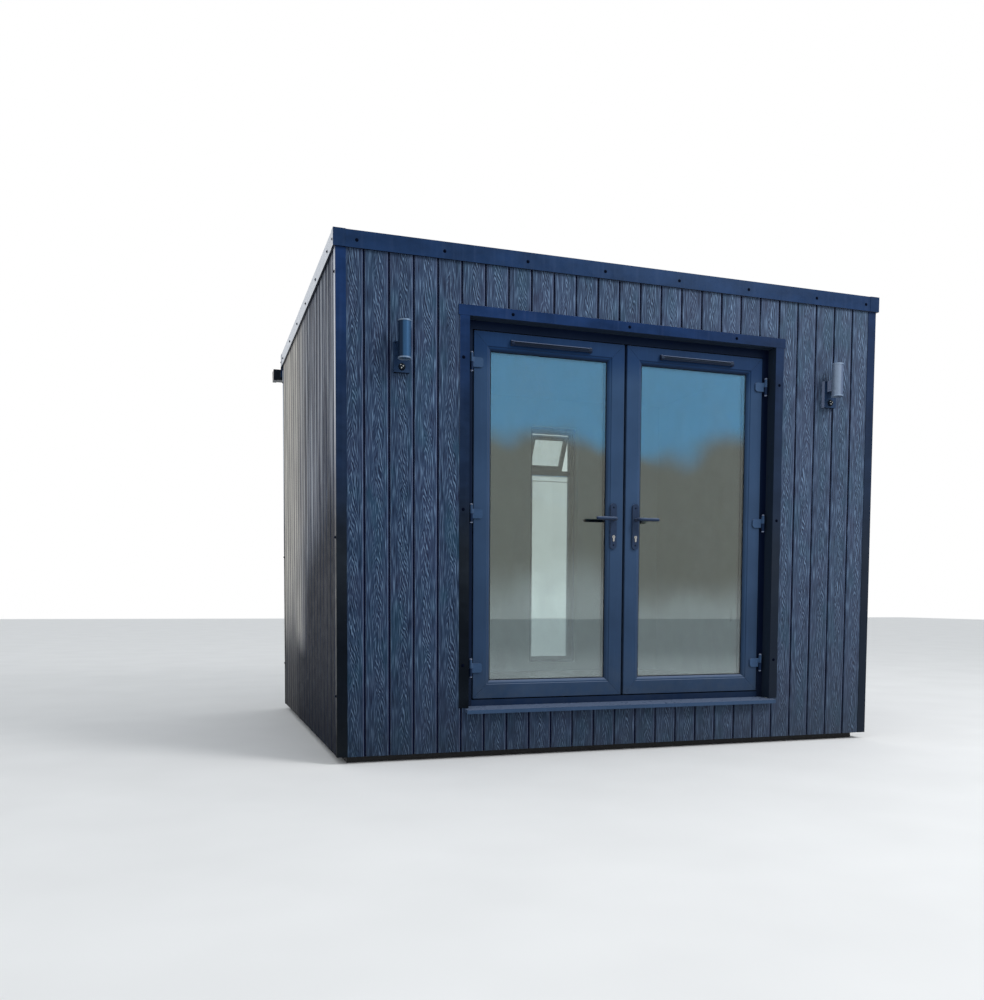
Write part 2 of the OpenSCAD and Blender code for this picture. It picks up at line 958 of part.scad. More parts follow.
module sockets() {
    z = floor_h + socket_up - socket_s / 2;
    color("#f1f0ec") {
        translate([socket_x - socket_s / 2, room_y - socket_d, z])
            cube([socket_s, socket_d, socket_s]);
        translate([room_x - socket_d, socket_y - socket_w2 / 2, z])
            cube([socket_d, socket_w2, socket_s]);
    }
}

// Hinges, drawn for the right door in the axes of the hinge

leaf_split = hinge_h / 2;
leaf_low = (hinge_h - leaf_h) / 2;
frame_in = hinge_out + door_out;

module frame_leaf() {
    union() {
        translate([0, 0, leaf_low])
            linear_extrude(height = leaf_h)
                polygon([[door_gap, frame_in - leaf_t], [frame_leaf_len, frame_in - leaf_t],
                    [frame_leaf_len, frame_in], [door_gap, frame_in]]);
        translate([0, 0, leaf_low])
            linear_extrude(height = leaf_split - washer - leaf_low)
                polygon([[0, 0], [barrel_r, 0], [2 * barrel_r, frame_in - leaf_t],
                    [2 * barrel_r, frame_in], [door_gap, frame_in],
                    [door_gap, barrel_r], [0, barrel_r]]);
        cylinder(h = leaf_split - washer, r = barrel_r);
        translate([0, 0, -leaf_t])
            cylinder(h = hinge_h + 2 * leaf_t, r = pin_r);
    }
}

// Face of a door leaf, with round corners at its free end, in (along, up) axes.
module leaf_face() {
    round_x = -leaf_len + leaf_corner;
    union() {
        translate([round_x, 0])
            square([leaf_len - leaf_corner - barrel_r - washer, leaf_h]);
        translate([-leaf_len, leaf_corner])
            square([leaf_corner, leaf_h - 2 * leaf_corner]);
        for (z = [leaf_corner, leaf_h - leaf_corner])
            translate([round_x, z])
                circle(leaf_corner);
    }
}

module door_leaf() {
    difference() {
        union() {
            translate([0, hinge_out, leaf_low])
                rotate([90, 0, 0])
                    linear_extrude(height = flag_t)
                        leaf_face();
            translate([0, 0, leaf_split])
                linear_extrude(height = leaf_h + leaf_low - leaf_split)
                    polygon([[0, 0], [-barrel_r, 0], [-barrel_r - flag_t, hinge_out - flag_t],
                        [-barrel_r - flag_t, hinge_out], [0, hinge_out]]);
            translate([0, 0, leaf_split])
                cylinder(h = hinge_h - leaf_split, r = barrel_r);
        }
        translate([0, 0, -hinge_h])
            cylinder(h = 3 * hinge_h, r = pin_r + seat_gap);
    }
}

module frame_hinge_leaves() {
    color("#2f353d")
        both_sides()
            for (z = hinge_zs)
                translate([hinge_x, hinge_y, z])
                    frame_leaf();
}

// Doors, each drawn as the right one

door_section = [[0, 0], [0, rail_w], [glass_in / 8, rail_w + bead_w / 8],
    [glass_in / 4, rail_w + bead_w / 2], [glass_in / 2, rail_w + 3 * bead_w / 4],
    [glass_in, rail_w + bead_w], [glass_in, rail_w + bead_w - glass_grip],
    [glass_in + glass_t, rail_w + bead_w - glass_grip],
    [glass_in + glass_t, rail_w + bead_w],
    [door_t - bead_w / 4, rail_w + bead_w], [door_t, rail_w + 3 * bead_w / 4],
    [door_t, 0]];

module door_sash() {
    difference() {
        translate([meeting_gap / 2, door_y, door_z])
            ring(leaf_w, door_h, rail_w + bead_w, door_section);
        translate([spindle_x, door_back + door_t, lever_z])
            rotate([90, 0, 0])
                cylinder(h = 3 * door_t, r = spindle_r + seat_gap);
    }
}

module door_glass() {
    inset = rail_w + bead_w - glass_grip + seat_gap;
    translate([meeting_gap / 2 + inset, door_y + glass_in, door_z + inset])
        cube([leaf_w - 2 * inset, glass_t, door_h - 2 * inset]);
}

module door_hinge_leaves() {
    for (z = hinge_zs)
        translate([hinge_x, hinge_y, z])
            door_leaf();
}

// Handle plates on both faces, joined to nothing but the door, with the key cylinder.
module door_handle_plates() {
    mid_z = lever_z - key_drop / 2 + plate_w / 4;
    key_out = 3;
    for (side = [0, 1])
        translate([0, side == 0 ? door_y : door_back, 0])
            mirror([0, side, 0])
                difference() {
                    union() {
                        translate([spindle_x, 0, mid_z])
                            stadium_plate(plate_w, plate_h, plate_t);
                        translate([spindle_x, 0, lever_z - key_drop])
                            rotate([90, 0, 0])
                                cylinder(h = plate_t + key_out, r = key_r);
                    }
                    translate([spindle_x, plate_t, lever_z])
                        rotate([90, 0, 0])
                            cylinder(h = 4 * plate_t, r = spindle_r + seat_gap);
                }
}

module door_vent() {
    x0 = meeting_gap / 2 + leaf_w / 2 - vent_len / 2;
    z0 = door_top - rail_w / 2 - vent_h / 2 - (rail_w - vent_h) / 5;
    translate([x0, door_y, z0])
        rotate([90, 0, 90])
            linear_extrude(height = vent_len)
                polygon([[0, 0], [-vent_d, 0], [-vent_d, vent_h / 4],
                    [-3 * vent_d / 4, 3 * vent_h / 4], [-vent_d / 4, vent_h],
                    [0, vent_h]]);
}

// One lever, its neck rising along -Y from the plate face and its bar along +X.
module lever_half(rise) {
    bend = 1.6 * lever_r;
    rotate([90, 0, 0])
        union() {
            translate([0, 0, 1])
                cylinder(h = rise - bend - 1, r = lever_r);
            translate([bend, 0, rise - bend])
                rotate([90, 0, 0])
                    rotate([0, 0, 90])
                        rotate_extrude(angle = 90)
                            translate([bend, 0])
                                circle(lever_r);
            translate([bend, 0, rise])
                rotate([0, 90, 0])
                    cylinder(h = lever_len - bend - lever_r, r = lever_r);
            translate([lever_len - lever_r, 0, rise])
                sphere(lever_r);
        }
}

module door_lever() {
    union() {
        translate([spindle_x, door_y - plate_t, lever_z])
            lever_half(lever_out);
        translate([spindle_x, door_back + plate_t, lever_z])
            mirror([0, 1, 0])
                lever_half(lever_out);
        translate([spindle_x, door_back + 2 * plate_t, lever_z])
            rotate([90, 0, 0])
                cylinder(h = door_t + 4 * plate_t, r = spindle_r);
    }
}

// Turns a door, drawn as the right one, about its hinge axis by the drawing angle.
module swung() {
    translate([hinge_x, hinge_y, 0])
        rotate([0, 0, door_angle])
            translate([-hinge_x, -hinge_y, 0])
                children();
}

module left_sash() {
    color("#39414c")
        mirror([1, 0, 0])
            swung()
                union() {
                    door_sash();
                    translate([meeting_gap / 2 - strip_w, door_y + hinge_out, door_z])
                        cube([strip_w, door_t / 2, door_h]);
                }
}

module left_glass() {
    color("#9fb4bd", 0.5)
        mirror([1, 0, 0])
            swung()
                door_glass();
}

module left_hinge_leaves() {
    color("#2f353d")
        mirror([1, 0, 0])
            swung()
                door_hinge_leaves();
}

module left_handle_plates() {
    color("#b9bcc0")
        mirror([1, 0, 0])
            swung()
                door_handle_plates();
}

module left_vent() {
    color("#39414c")
        mirror([1, 0, 0])
            swung()
                door_vent();
}

module left_lever() {
    color("#c3c6ca")
        mirror([1, 0, 0])
            swung()
                door_lever();
}

module right_sash() {
    color("#39414c")
        swung()
            door_sash();
}

module right_glass() {
    color("#9fb4bd", 0.5)
        swung()
            door_glass();
}

module right_hinge_leaves() {
    color("#2f353d")
        swung()
            door_hinge_leaves();
}

module right_handle_plates() {
    color("#b9bcc0")
        swung()
            door_handle_plates();
}

module right_vent() {
    color("#39414c")
        swung()
            door_vent();
}

module right_lever() {
    color("#c3c6ca")
        swung()
            door_lever();
}

base_frame();
floor_deck();
front_wall_left();
front_wall_right();
front_wall_over_door();
left_wall();
right_wall();
rear_wall_left();
rear_wall_right();
front_cladding_left();
front_cladding_right();
front_cladding_over_door();
front_cladding_under_door();
left_cladding();
right_cladding();
rear_cladding_left();
rear_cladding_right();
roof_deck();
roof_membrane();
corner_trims();
front_fascia();
rear_fascia();
left_fascia();
right_fascia();
fascia_caps();
door_trims();
door_frame_jambs();
door_frame_head();
door_threshold();
door_sill();
rear_window_frame();
rear_fanlight();
fanlight_stays();
rear_window_glass();
gutter_left();
gutter_right();
downpipe();
light_brackets();
light_tubes();
sockets();
frame_hinge_leaves();
left_sash();
left_glass();
left_hinge_leaves();
left_handle_plates();
left_vent();
left_lever();
right_sash();
right_glass();
right_hinge_leaves();
right_handle_plates();
right_vent();
right_lever();
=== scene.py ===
import math
import random

import bpy
from mathutils import Matrix, Vector


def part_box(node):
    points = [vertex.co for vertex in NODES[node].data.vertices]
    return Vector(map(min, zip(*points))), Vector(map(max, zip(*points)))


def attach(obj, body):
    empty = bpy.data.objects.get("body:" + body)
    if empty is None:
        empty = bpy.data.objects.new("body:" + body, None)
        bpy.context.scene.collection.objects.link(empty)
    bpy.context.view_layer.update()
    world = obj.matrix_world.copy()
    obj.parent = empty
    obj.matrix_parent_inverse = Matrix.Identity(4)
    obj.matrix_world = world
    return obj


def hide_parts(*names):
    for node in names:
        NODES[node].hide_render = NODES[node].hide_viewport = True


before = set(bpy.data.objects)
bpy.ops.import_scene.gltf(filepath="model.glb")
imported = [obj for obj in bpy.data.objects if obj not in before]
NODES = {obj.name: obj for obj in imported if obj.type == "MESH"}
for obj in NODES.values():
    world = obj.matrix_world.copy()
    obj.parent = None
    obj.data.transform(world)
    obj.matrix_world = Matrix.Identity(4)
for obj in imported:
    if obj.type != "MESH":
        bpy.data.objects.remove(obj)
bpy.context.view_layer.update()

RNG = random.Random(11)
MM = 0.001

# Cladding boards, in metres
BOARD_PITCH = 0.120
BOARD_THICK = 0.022
GROOVE = 0.0105
GROOVE_DEPTH = 0.009
CHAMFER = 0.0022
FIRST_GROOVE = {"front": -1.3905, "left": -1.04, "right": -1.04, "rear": -1.41}
FIRST_BOARD = {"front": 100, "left": 200, "right": 300, "rear": 400}

# Places on the building that the solids share, in metres
DOORWAY_Y, DOORWAY_HALF = -1.1975, 0.8825
LAMP_PLATE_Y, LAMP_DOME_TOP = -1.221, 1.908
TUBE_X, TUBE_Y, TUBE_Z, TUBE_HALF = 1.2215, -1.277, 2.003, 0.082
HANDLE_Z, KEY_DROP = 1.215, 0.092
LAP = 1.2 * MM
ROOM_X, ROOM_Y = 1.380, 1.055
ROOF_KERB_Z = 2.36

# Half the width of the line at a mitre
MITRE_GAP = 0.0006

# Arches of the embossed grain: how steep they run, and their two wave lengths in metres
ARCH_SLOPE, ARCH_LONG, ARCH_SHORT = 4.0, 0.046, 0.0265


# ---------------- shapes

class Shape:
    """Closed solids gathered in one mesh, each face with its material number and UVs."""

    def __init__(self):
        self.verts, self.faces, self.mats, self.uvs, self.soft = [], [], [], [], []

    def add(self, solid, mat=0, uv=None, soft=False, place=None):
        verts, faces = solid
        if place is not None:
            verts = [place @ Vector(v) for v in verts]
        base = len(self.verts)
        self.verts += [tuple(v) for v in verts]
        for face in faces:
            self.faces.append([base + i for i in face])
            self.mats.append(mat)
            self.soft.append(soft)
            self.uvs += [uv(verts[i]) if uv else (0.0, 0.0) for i in face]

    def mirrored(self):
        """The same shape on the other side of the middle plane x = 0."""
        twin = Shape()
        twin.verts = [(-x, y, z) for x, y, z in self.verts]
        twin.mats, twin.soft = list(self.mats), list(self.soft)
        k = 0
        for face in self.faces:
            twin.faces.append(list(reversed(face)))
            twin.uvs += list(reversed(self.uvs[k:k + len(face)]))
            k += len(face)
        return twin

    def piece(self, name, body, slot, materials, replaces=(), bevel=0.0, segments=2):
        mesh = bpy.data.meshes.new(name)
        mesh.from_pydata(self.verts, [], self.faces)
        layer = mesh.uv_layers.new(name="UVMap")
        layer.data.foreach_set("uv", [c for uv in self.uvs for c in uv])
        mesh.polygons.foreach_set("material_index", self.mats)
        mesh.polygons.foreach_set("use_smooth", self.soft)
        mesh.update()
        for material in materials:
            mesh.materials.append(material)
        obj = new_object(name, mesh)
        if bevel:
            round_edges(obj, bevel, segments)
        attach(obj, body)
        if replaces:
            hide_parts(*replaces)


def new_object(name, data):
    obj = bpy.data.objects.new(name, data)
    bpy.context.scene.collection.objects.link(obj)
    return obj


def round_edges(obj, width, segments=2):
    mod = obj.modifiers.new("edges", "BEVEL")
    mod.width = width
    mod.segments = segments
    mod.limit_method = "ANGLE"
    mod.angle_limit = math.radians(30)
    mod.harden_normals = True
    mod.use_clamp_overlap = True


def box(lo, hi):
    (a, b, c), (d, e, f) = lo, hi
    verts = [(a, b, c), (d, b, c), (d, e, c), (a, e, c), (a, b, f), (d, b, f), (d, e, f), (a, e, f)]
    faces = [(0, 3, 2, 1), (4, 5, 6, 7), (0, 1, 5, 4), (1, 2, 6, 5), (2, 3, 7, 6), (3, 0, 4, 7)]
    return verts, faces


def loft(rings):
    """Closed skin over rings of equal length, each ring anticlockwise seen from ahead."""
    n = len(rings[0])
    verts = [tuple(p) for ring in rings for p in ring]
    faces = []
    for r in range(len(rings) - 1):
        a, b = r * n, (r + 1) * n
        for i in range(n):
            j = (i + 1) % n
            faces.append((a + i, a + j, b + j, b + i))
    faces.append(tuple(reversed(range(n))))
    faces.append(tuple(range((len(rings) - 1) * n, len(rings) * n)))
    return verts, faces


def prism(outline, lo, hi, place=lambda u, v, w: (u, v, w)):
    """Outline of (u, v) points, anticlockwise, drawn out along w from lo to hi."""
    return loft([[place(u, v, w) for u, v in outline] for w in (lo, hi)])


def lathe(profile, at, along=(0, -1, 0), segments=24):
    """Solid of revolution of (radius, height) points, from the axis back to the axis."""
    axis = Vector(along).normalized()
    side = axis.orthogonal().normalized()
    up = axis.cross(side)
    at = Vector(at)
    verts, faces, rows = [], [], []
    for r, h in profile:
        count = 1 if r == 0 else segments
        rows.append(range(len(verts), len(verts) + count))
        for k in range(count):
            t = 2 * math.pi * k / segments
            verts.append(tuple(at + axis * h + side * (r * math.cos(t)) + up * (r * math.sin(t))))
    for a, b in zip(rows, rows[1:]):
        for k in range(segments):
            j = (k + 1) % segments
            if len(a) == 1:
                faces.append((a[0], b[k], b[j]))
            elif len(b) == 1:
                faces.append((a[j], a[k], b[0]))
            else:
                faces.append((a[k], b[k], b[j], a[j]))
    return verts, faces


def mitred_ring(shape, lo, hi, y, profile, gap=MITRE_GAP):
    """Four mitred bars round a rectangle in the XZ plane.

    profile holds (depth, offset) points: depth behind y and offset in from the edge.
    Each bar has its own tone as UV x and the run along it as UV y."""
    (x0, z0), (x1, z1) = lo, hi
    corners = (
        lambda o: ((x0 + o + gap, z0 + o), (x1 - o - gap, z0 + o)),
        lambda o: ((x1 - o - gap, z1 - o), (x0 + o + gap, z1 - o)),
        lambda o: ((x0 + o, z1 - o - gap), (x0 + o, z0 + o + gap)),
        lambda o: ((x1 - o, z0 + o + gap), (x1 - o, z1 - o - gap)),
    )
    for number, ends in enumerate(corners):
        rings = [[], []]
        for depth, offset in profile:
            for k, (px, pz) in enumerate(ends(offset)):
                rings[k].append((px, y + depth, pz))
        tone, run = RNG.random(), 0 if number < 2 else 2
        shape.add(loft([rings[1], rings[0]]), uv=lambda p, t=tone, r=run: (t, p[r]))


# ---------------- materials

def srgb(r, g, b):
    """Linear colour from 0 to 255 screen values."""
    out = []
    for c in (r, g, b):
        c /= 255
        out.append(c / 12.92 if c <= 0.04045 else ((c + 0.055) / 1.055) ** 2.4)
    return (*out, 1.0)


class Mat:
    """Short names for making a node material."""

    def __init__(self, name, rough=0.5, metal=0.0):
        self.m = bpy.data.materials.new(name)
        self.m.use_nodes = True
        self.tree = self.m.node_tree
        self.shader = self.tree.nodes["Principled BSDF"]
        self.shader.inputs["Roughness"].default_value = rough
        self.shader.inputs["Metallic"].default_value = metal
        self.at = self.n("TexCoord").outputs["Object"]
        self.relief = None

    def n(self, kind, inputs=None, **props):
        node = self.tree.nodes.new("ShaderNode" + kind)
        for key, value in props.items():
            setattr(node, key, value)
        for key, value in (inputs or {}).items():
            self.put(node.inputs[key], value)
        return node

    def put(self, socket, value):
        if isinstance(value, bpy.types.NodeSocket):
            self.tree.links.new(value, socket)
        else:
            socket.default_value = value

    def set(self, name, value):
        self.put(self.shader.inputs[name], value)

    def math(self, op, a, b=0.0, clamp=False):
        return self.n("Math", {0: a, 1: b}, operation=op, use_clamp=clamp).outputs[0]

    def add(self, a, b, clamp=False):
        return self.math("ADD", a, b, clamp)

    def sub(self, a, b):
        return self.math("SUBTRACT", a, b)

    def mul(self, a, b, clamp=False):
        return self.math("MULTIPLY", a, b, clamp)

    def span(self, x, lo, hi, to_lo=0.0, to_hi=1.0, kind="LINEAR"):
        """to_lo where x is lo, to_hi where it is hi, in a straight line between."""
        node = self.n("MapRange", {"Value": x, "From Min": lo, "From Max": hi, "To Min": to_lo,
                                   "To Max": to_hi}, interpolation_type=kind)
        return node.outputs["Result"]

    def spread(self, noise, to_lo=0.0, to_hi=1.0):
        """Like span, for the usual range of a noise."""
        return self.span(noise, 0.3, 0.7, to_lo, to_hi)

    def ease(self, x, lo, hi, to_lo=0.0, to_hi=1.0):
        """Like span, with a soft start and end."""
        return self.span(x, lo, hi, to_lo, to_hi, "SMOOTHSTEP")

    def scaled(self, x, y, z):
        """The place on the object, with its axes stretched."""
        return self.n("VectorMath", {0: self.at, 1: (x, y, z)}, operation="MULTIPLY").outputs[0]

    def shifted(self, by):
        return self.n("VectorMath", {0: self.at, 1: by}, operation="ADD").outputs[0]

    def hsv(self, colour, value, saturation=1.0):
        node = self.n("HueSaturation", {"Saturation": saturation, "Value": value, "Color": colour})
        return node.outputs["Color"]

    def uv(self):
        return self.xyz(self.n("UVMap", uv_map="UVMap").outputs["UV"])

    def normal(self):
        return self.xyz(self.n("NewGeometry").outputs["Normal"])

    def noise(self, scale, detail=3.0, rough=0.5, vec=None, warp=0.0):
        node = self.n("TexNoise", {"Vector": vec or self.at, "Scale": scale, "Detail": detail,
                                   "Roughness": rough, "Distortion": warp})
        return node.outputs["Fac"]

    def mix(self, fac, a, b):
        node = self.n("Mix", data_type="RGBA")
        self.put(node.inputs["Factor"], fac)
        self.put(node.inputs[6], a)
        self.put(node.inputs[7], b)
        return node.outputs[2]

    def xyz(self, vec=None):
        return tuple(self.n("SeparateXYZ", {"Vector": vec or self.at}).outputs)

    def bump(self, height, distance):
        """Relief of the given depth in metres, laid over the one before."""
        node = self.n("Bump", {"Height": height, "Distance": distance, "Strength": 1.0})
        if self.relief:
            self.put(node.inputs["Normal"], self.relief)
        self.relief = node.outputs["Normal"]
        self.set("Normal", self.relief)

    def tint(self, colour, share):
        """The colour made lighter or darker by the share."""
        return tuple(c * share for c in colour[:3]) + (1.0,)

    def levels(self, *stops):
        """A colour that changes with the height above the ground; stops are (metres, colour)."""
        z = self.xyz()[2]
        out = stops[0][1]
        for (low, _), (high, colour) in zip(stops, stops[1:]):
            out = self.mix(self.ease(z, low, high), out, colour)
        return out

    def under(self, most):
        """Share of painted shade that grows to most on faces that look down."""
        return self.ease(self.normal()[2], -0.15, -0.85, 0.0, most)

    def over(self, most, low=0.25):
        """Share of painted highlight that grows to most on faces that look up."""
        return self.ease(self.normal()[2], low, 0.95, 0.0, most)

    def gloss(self, level):
        """A mirror as strong as level, in the blue of the sky."""
        self.shader.inputs["Specular IOR Level"].default_value = level
        self.shader.inputs["Specular Tint"].default_value = (0.40, 0.66, 1.0, 1.0)

    def facing(self):
        return self.n("LayerWeight", {"Blend": 0.5}).outputs["Facing"]

    def painted_grazing_sheen(self, colour, share, low=1.0):
        """Painted sheen of dust catching the light at grazing angles, less of it low down."""
        amount = self.mul(self.math("POWER", self.facing(), 1.15), share)
        height = self.ease(self.xyz()[2], 0.25, 1.9, low, 1.0)
        return self.mix(self.mul(amount, height, clamp=True), colour, srgb(148, 154, 166))

    def flash(self, colour, low, high):
        """The bright sky in a smooth coating seen along its face: none up to low, all from high."""
        amount = self.ease(self.facing(), 0.62, 0.90, 0.0, 0.92)
        height = self.ease(self.xyz()[2], low, high)
        return self.mix(self.mul(amount, height), colour, srgb(214, 219, 228))


def near_ground(m, top):
    """1 at the ground, falling to 0 at top, broken up by noise."""
    fall = m.span(m.xyz()[2], 0.03, top, 1.0, 0.0)
    broken = m.span(m.noise(14.0, 4.0, 0.6), 0.3, 0.75, 0.35, 1.25)
    return m.mul(m.math("POWER", fall, 2.2), broken, clamp=True)


def embossed_grain(m, number, across, v):
    """Relief from about -1 to 1: steep arches up the middle of each board and fine upright
    lines beside them. number is the board's, across runs over it and v up it, in metres."""

    def drift(per_metre, seed, share, detail=1.0):
        """A value about zero that changes up the board only."""
        at = m.n("CombineXYZ", {0: m.mul(number, 3.7), 1: m.mul(v, per_metre), 2: seed}).outputs[0]
        return m.mul(m.sub(m.noise(1.0, detail, 0.5, vec=at), 0.5), share)

    def field(wide, tall, seed, detail=1.0):
        """Noise from 0 to 1 with patches of the given width and height in metres."""
        at = m.n("CombineXYZ", {0: m.math("DIVIDE", across, wide), 1: m.math("DIVIDE", v, tall),
                                2: m.mul(number, 1.71 + seed)}).outputs[0]
        return m.noise(1.0, detail, 0.5, vec=at)

    apex = m.add(m.sub(across, drift(2.9, 0.3, 0.075)), 0.006)
    warp = m.sub(field(0.026, 0.120, 0.13, 2.0), 0.5)
    rise = m.add(v, m.mul(m.math("ABSOLUTE", apex), ARCH_SLOPE))
    rise = m.add(rise, m.mul(warp, 0.110))
    stretch = m.add(rise, drift(1.6, 8.4, 0.24, 2.0))
    wave = m.math("SINE", m.mul(stretch, 2 * math.pi / ARCH_LONG))
    ripple = m.math("SINE", m.mul(rise, 2 * math.pi / ARCH_SHORT))
    wave = m.add(wave, m.mul(ripple, 0.5))
    dash = m.span(field(0.0070, 0.044, 0.41), 0.34, 0.56)

    column = m.sub(across, drift(2.1, 5.2, 0.030))
    column = m.add(column, m.mul(warp, 0.026))
    middle = m.mul(m.ease(column, -0.028, -0.010), m.ease(column, 0.018, 0.036, 1.0, 0.0))
    left = m.ease(apex, -0.004, 0.004, 0.55, 1.0)
    faint = m.add(drift(2.6, 2.7, 1.0), 1.0)
    arches = m.mul(m.mul(wave, dash), m.mul(middle, left))
    arches = m.mul(arches, m.math("MINIMUM", faint, 1.0))

    fine = m.sub(field(0.0072, 0.190, 0.77), 0.5)
    hair = m.sub(field(0.0044, 0.090, 0.29), 0.5)
    lines = m.add(m.mul(fine, 1.3), m.mul(hair, 3.9))
    return m.add(arches, m.mul(lines, m.span(middle, 0.0, 1.0, 1.0, 0.62)))


def painted_sheen_and_shade(m, colour):
    """Painted reflection and painted shade on the side boards seen along the wall: pale and
    streaked where the sky is reflected, above a slanted edge and at the far end, and dark below."""
    _, y, z = m.xyz()
    facing = m.facing()
    streak = m.noise(1.0, 3.0, 0.65, vec=m.scaled(42.0, 42.0, 1.1))
    broad = m.noise(1.0, 3.0, 0.6, vec=m.scaled(6.0, 6.0, 1.0))
    coarse = m.noise(1.0, 2.0, 0.6, vec=m.scaled(19.0, 19.0, 0.9))

    above = m.sub(z, m.sub(0.86, m.mul(y, 0.36)))
    above = m.add(above, m.spread(streak, -0.16, 0.16))
    sky_lit = m.ease(above, -0.12, 0.42, 0.04, 1.0)
    bloom = m.ease(m.math("ABSOLUTE", m.sub(y, 0.22)), 0.36, 0.16)
    bloom = m.mul(bloom, m.ease(z, 0.40, 0.62))
    bloom = m.mul(bloom, m.span(streak, 0.38, 0.54, 0.2, 1.0))
    end = m.mul(m.ease(y, 0.12, 0.60, 0.0, 0.85), m.ease(z, 0.35, 0.85, 0.15, 1.0))
    sky_lit = m.math("MAXIMUM", sky_lit, m.math("MAXIMUM", bloom, end))

    beige = m.mix(m.span(streak, 0.38, 0.60), srgb(132, 128, 124), srgb(238, 232, 220))
    grey = m.mix(m.span(coarse, 0.40, 0.60), srgb(44, 46, 54), srgb(178, 182, 190))
    film = m.mix(m.ease(y, -0.30, 0.55), grey, beige)
    film = m.mix(m.span(broad, 0.42, 0.60, 0.0, 0.30), film, srgb(112, 110, 114))
    share = m.mul(m.span(facing, 0.35, 0.93, 0.0, 0.95), m.ease(facing, 0.84, 0.91, 0.76, 1.0))
    # painted shade: dark mixed in below the slanted edge, more of it seen along the wall
    painted_shade = m.mul(m.sub(1.0, sky_lit), m.span(facing, 0.45, 0.80, 0.0, 0.92))
    colour = m.mix(painted_shade, colour, srgb(21, 22, 28))
    # painted reflection of the sky: pale and streaked above the slanted edge and at the far end
    return m.mix(m.mul(share, sky_lit), colour, film)


def board_material(name, painted_side_light=False):
    """Composite boards embossed with a wood grain, with painted shade in the hollows and a painted
    highlight on the ridges. The UV map holds the board number plus the place across it, and the
    height in metres."""
    m = Mat(name, rough=0.46)
    u, v, _ = m.uv()
    number, within = m.math("FLOOR", u), m.math("FRACT", u)
    board = m.n("TexWhiteNoise", {"W": number}, noise_dimensions="1D")
    chance, hue = board.outputs["Value"], m.xyz(board.outputs["Color"])[0]
    grain = embossed_grain(m, number, m.mul(m.sub(within, 0.5), BOARD_PITCH), v)

    # painted shade in the hollows of the grain and painted highlight on its ridges
    colour = m.mix(m.span(grain, -1.00, -0.02), srgb(5, 14, 40), srgb(41, 59, 86))
    colour = m.mix(m.span(grain, 0.12, 1.20), colour, srgb(102, 128, 158))
    patch = m.noise(7.0, 2.0, 0.5, vec=m.scaled(1.4, 1.4, 0.6))
    colour = m.mix(m.span(patch, 0.52, 0.68, 0.0, 0.12), colour, srgb(66, 60, 90))
    colour = m.mix(m.span(patch, 0.47, 0.32, 0.0, 0.26), colour, srgb(26, 74, 92))
    colour = m.mix(m.span(hue, 0.0, 1.0, 0.0, 0.06), colour, srgb(66, 66, 88))
    colour = m.hsv(colour, m.span(chance, 0.0, 1.0, 0.90, 1.10), 0.97)

    # painted highlight along both edges of each board, beside the grooves
    lip_left = m.mul(m.ease(within, 0.042, 0.052), m.ease(within, 0.070, 0.100, 1.0, 0.0))
    lip_right = m.mul(m.ease(within, 0.895, 0.925), m.ease(within, 0.950, 0.958, 1.0, 0.0))
    colour = m.mix(m.mul(lip_left, 0.12), colour, srgb(98, 114, 150))
    colour = m.mix(m.mul(lip_right, 0.30), colour, srgb(104, 118, 154))
    soil = near_ground(m, 0.62)
    colour = m.mix(m.mul(soil, 0.55), colour, srgb(34, 40, 48))
    # painted shade: darker towards the bottom
    colour = m.mix(m.span(m.xyz()[2], 1.2, 0.3, 0.0, 0.26), colour, srgb(22, 28, 38))
    # painted sheen at grazing angles; on the side and rear boards a painted reflection of the sky and
    # painted shade
    colour = painted_sheen_and_shade(m, colour) if painted_side_light else m.painted_grazing_sheen(colour, 0.40, 0.9)

    # painted shade: the grooves near black, on the side and rear boards also their walls
    edge = m.math("MINIMUM", within, m.sub(1.0, within))
    near, far = (0.0550, 0.0610) if painted_side_light else (0.036, 0.046)
    m.set("Base Color", m.mix(m.ease(edge, near, far, 1.0, 0.0), colour, srgb(2, 6, 42)))
    dust = m.span(m.noise(18.0, 4.0, 0.6), 0.35, 0.7, 0.44, 0.56)
    m.set("Roughness", m.add(dust, m.mul(soil, 0.25), clamp=True))
    m.bump(grain, 0.0006)
    m.bump(m.noise(900.0, 2.0, 0.5), 0.00010)
    m.gloss(0.02 if painted_side_light else 0.14)
    return m.m


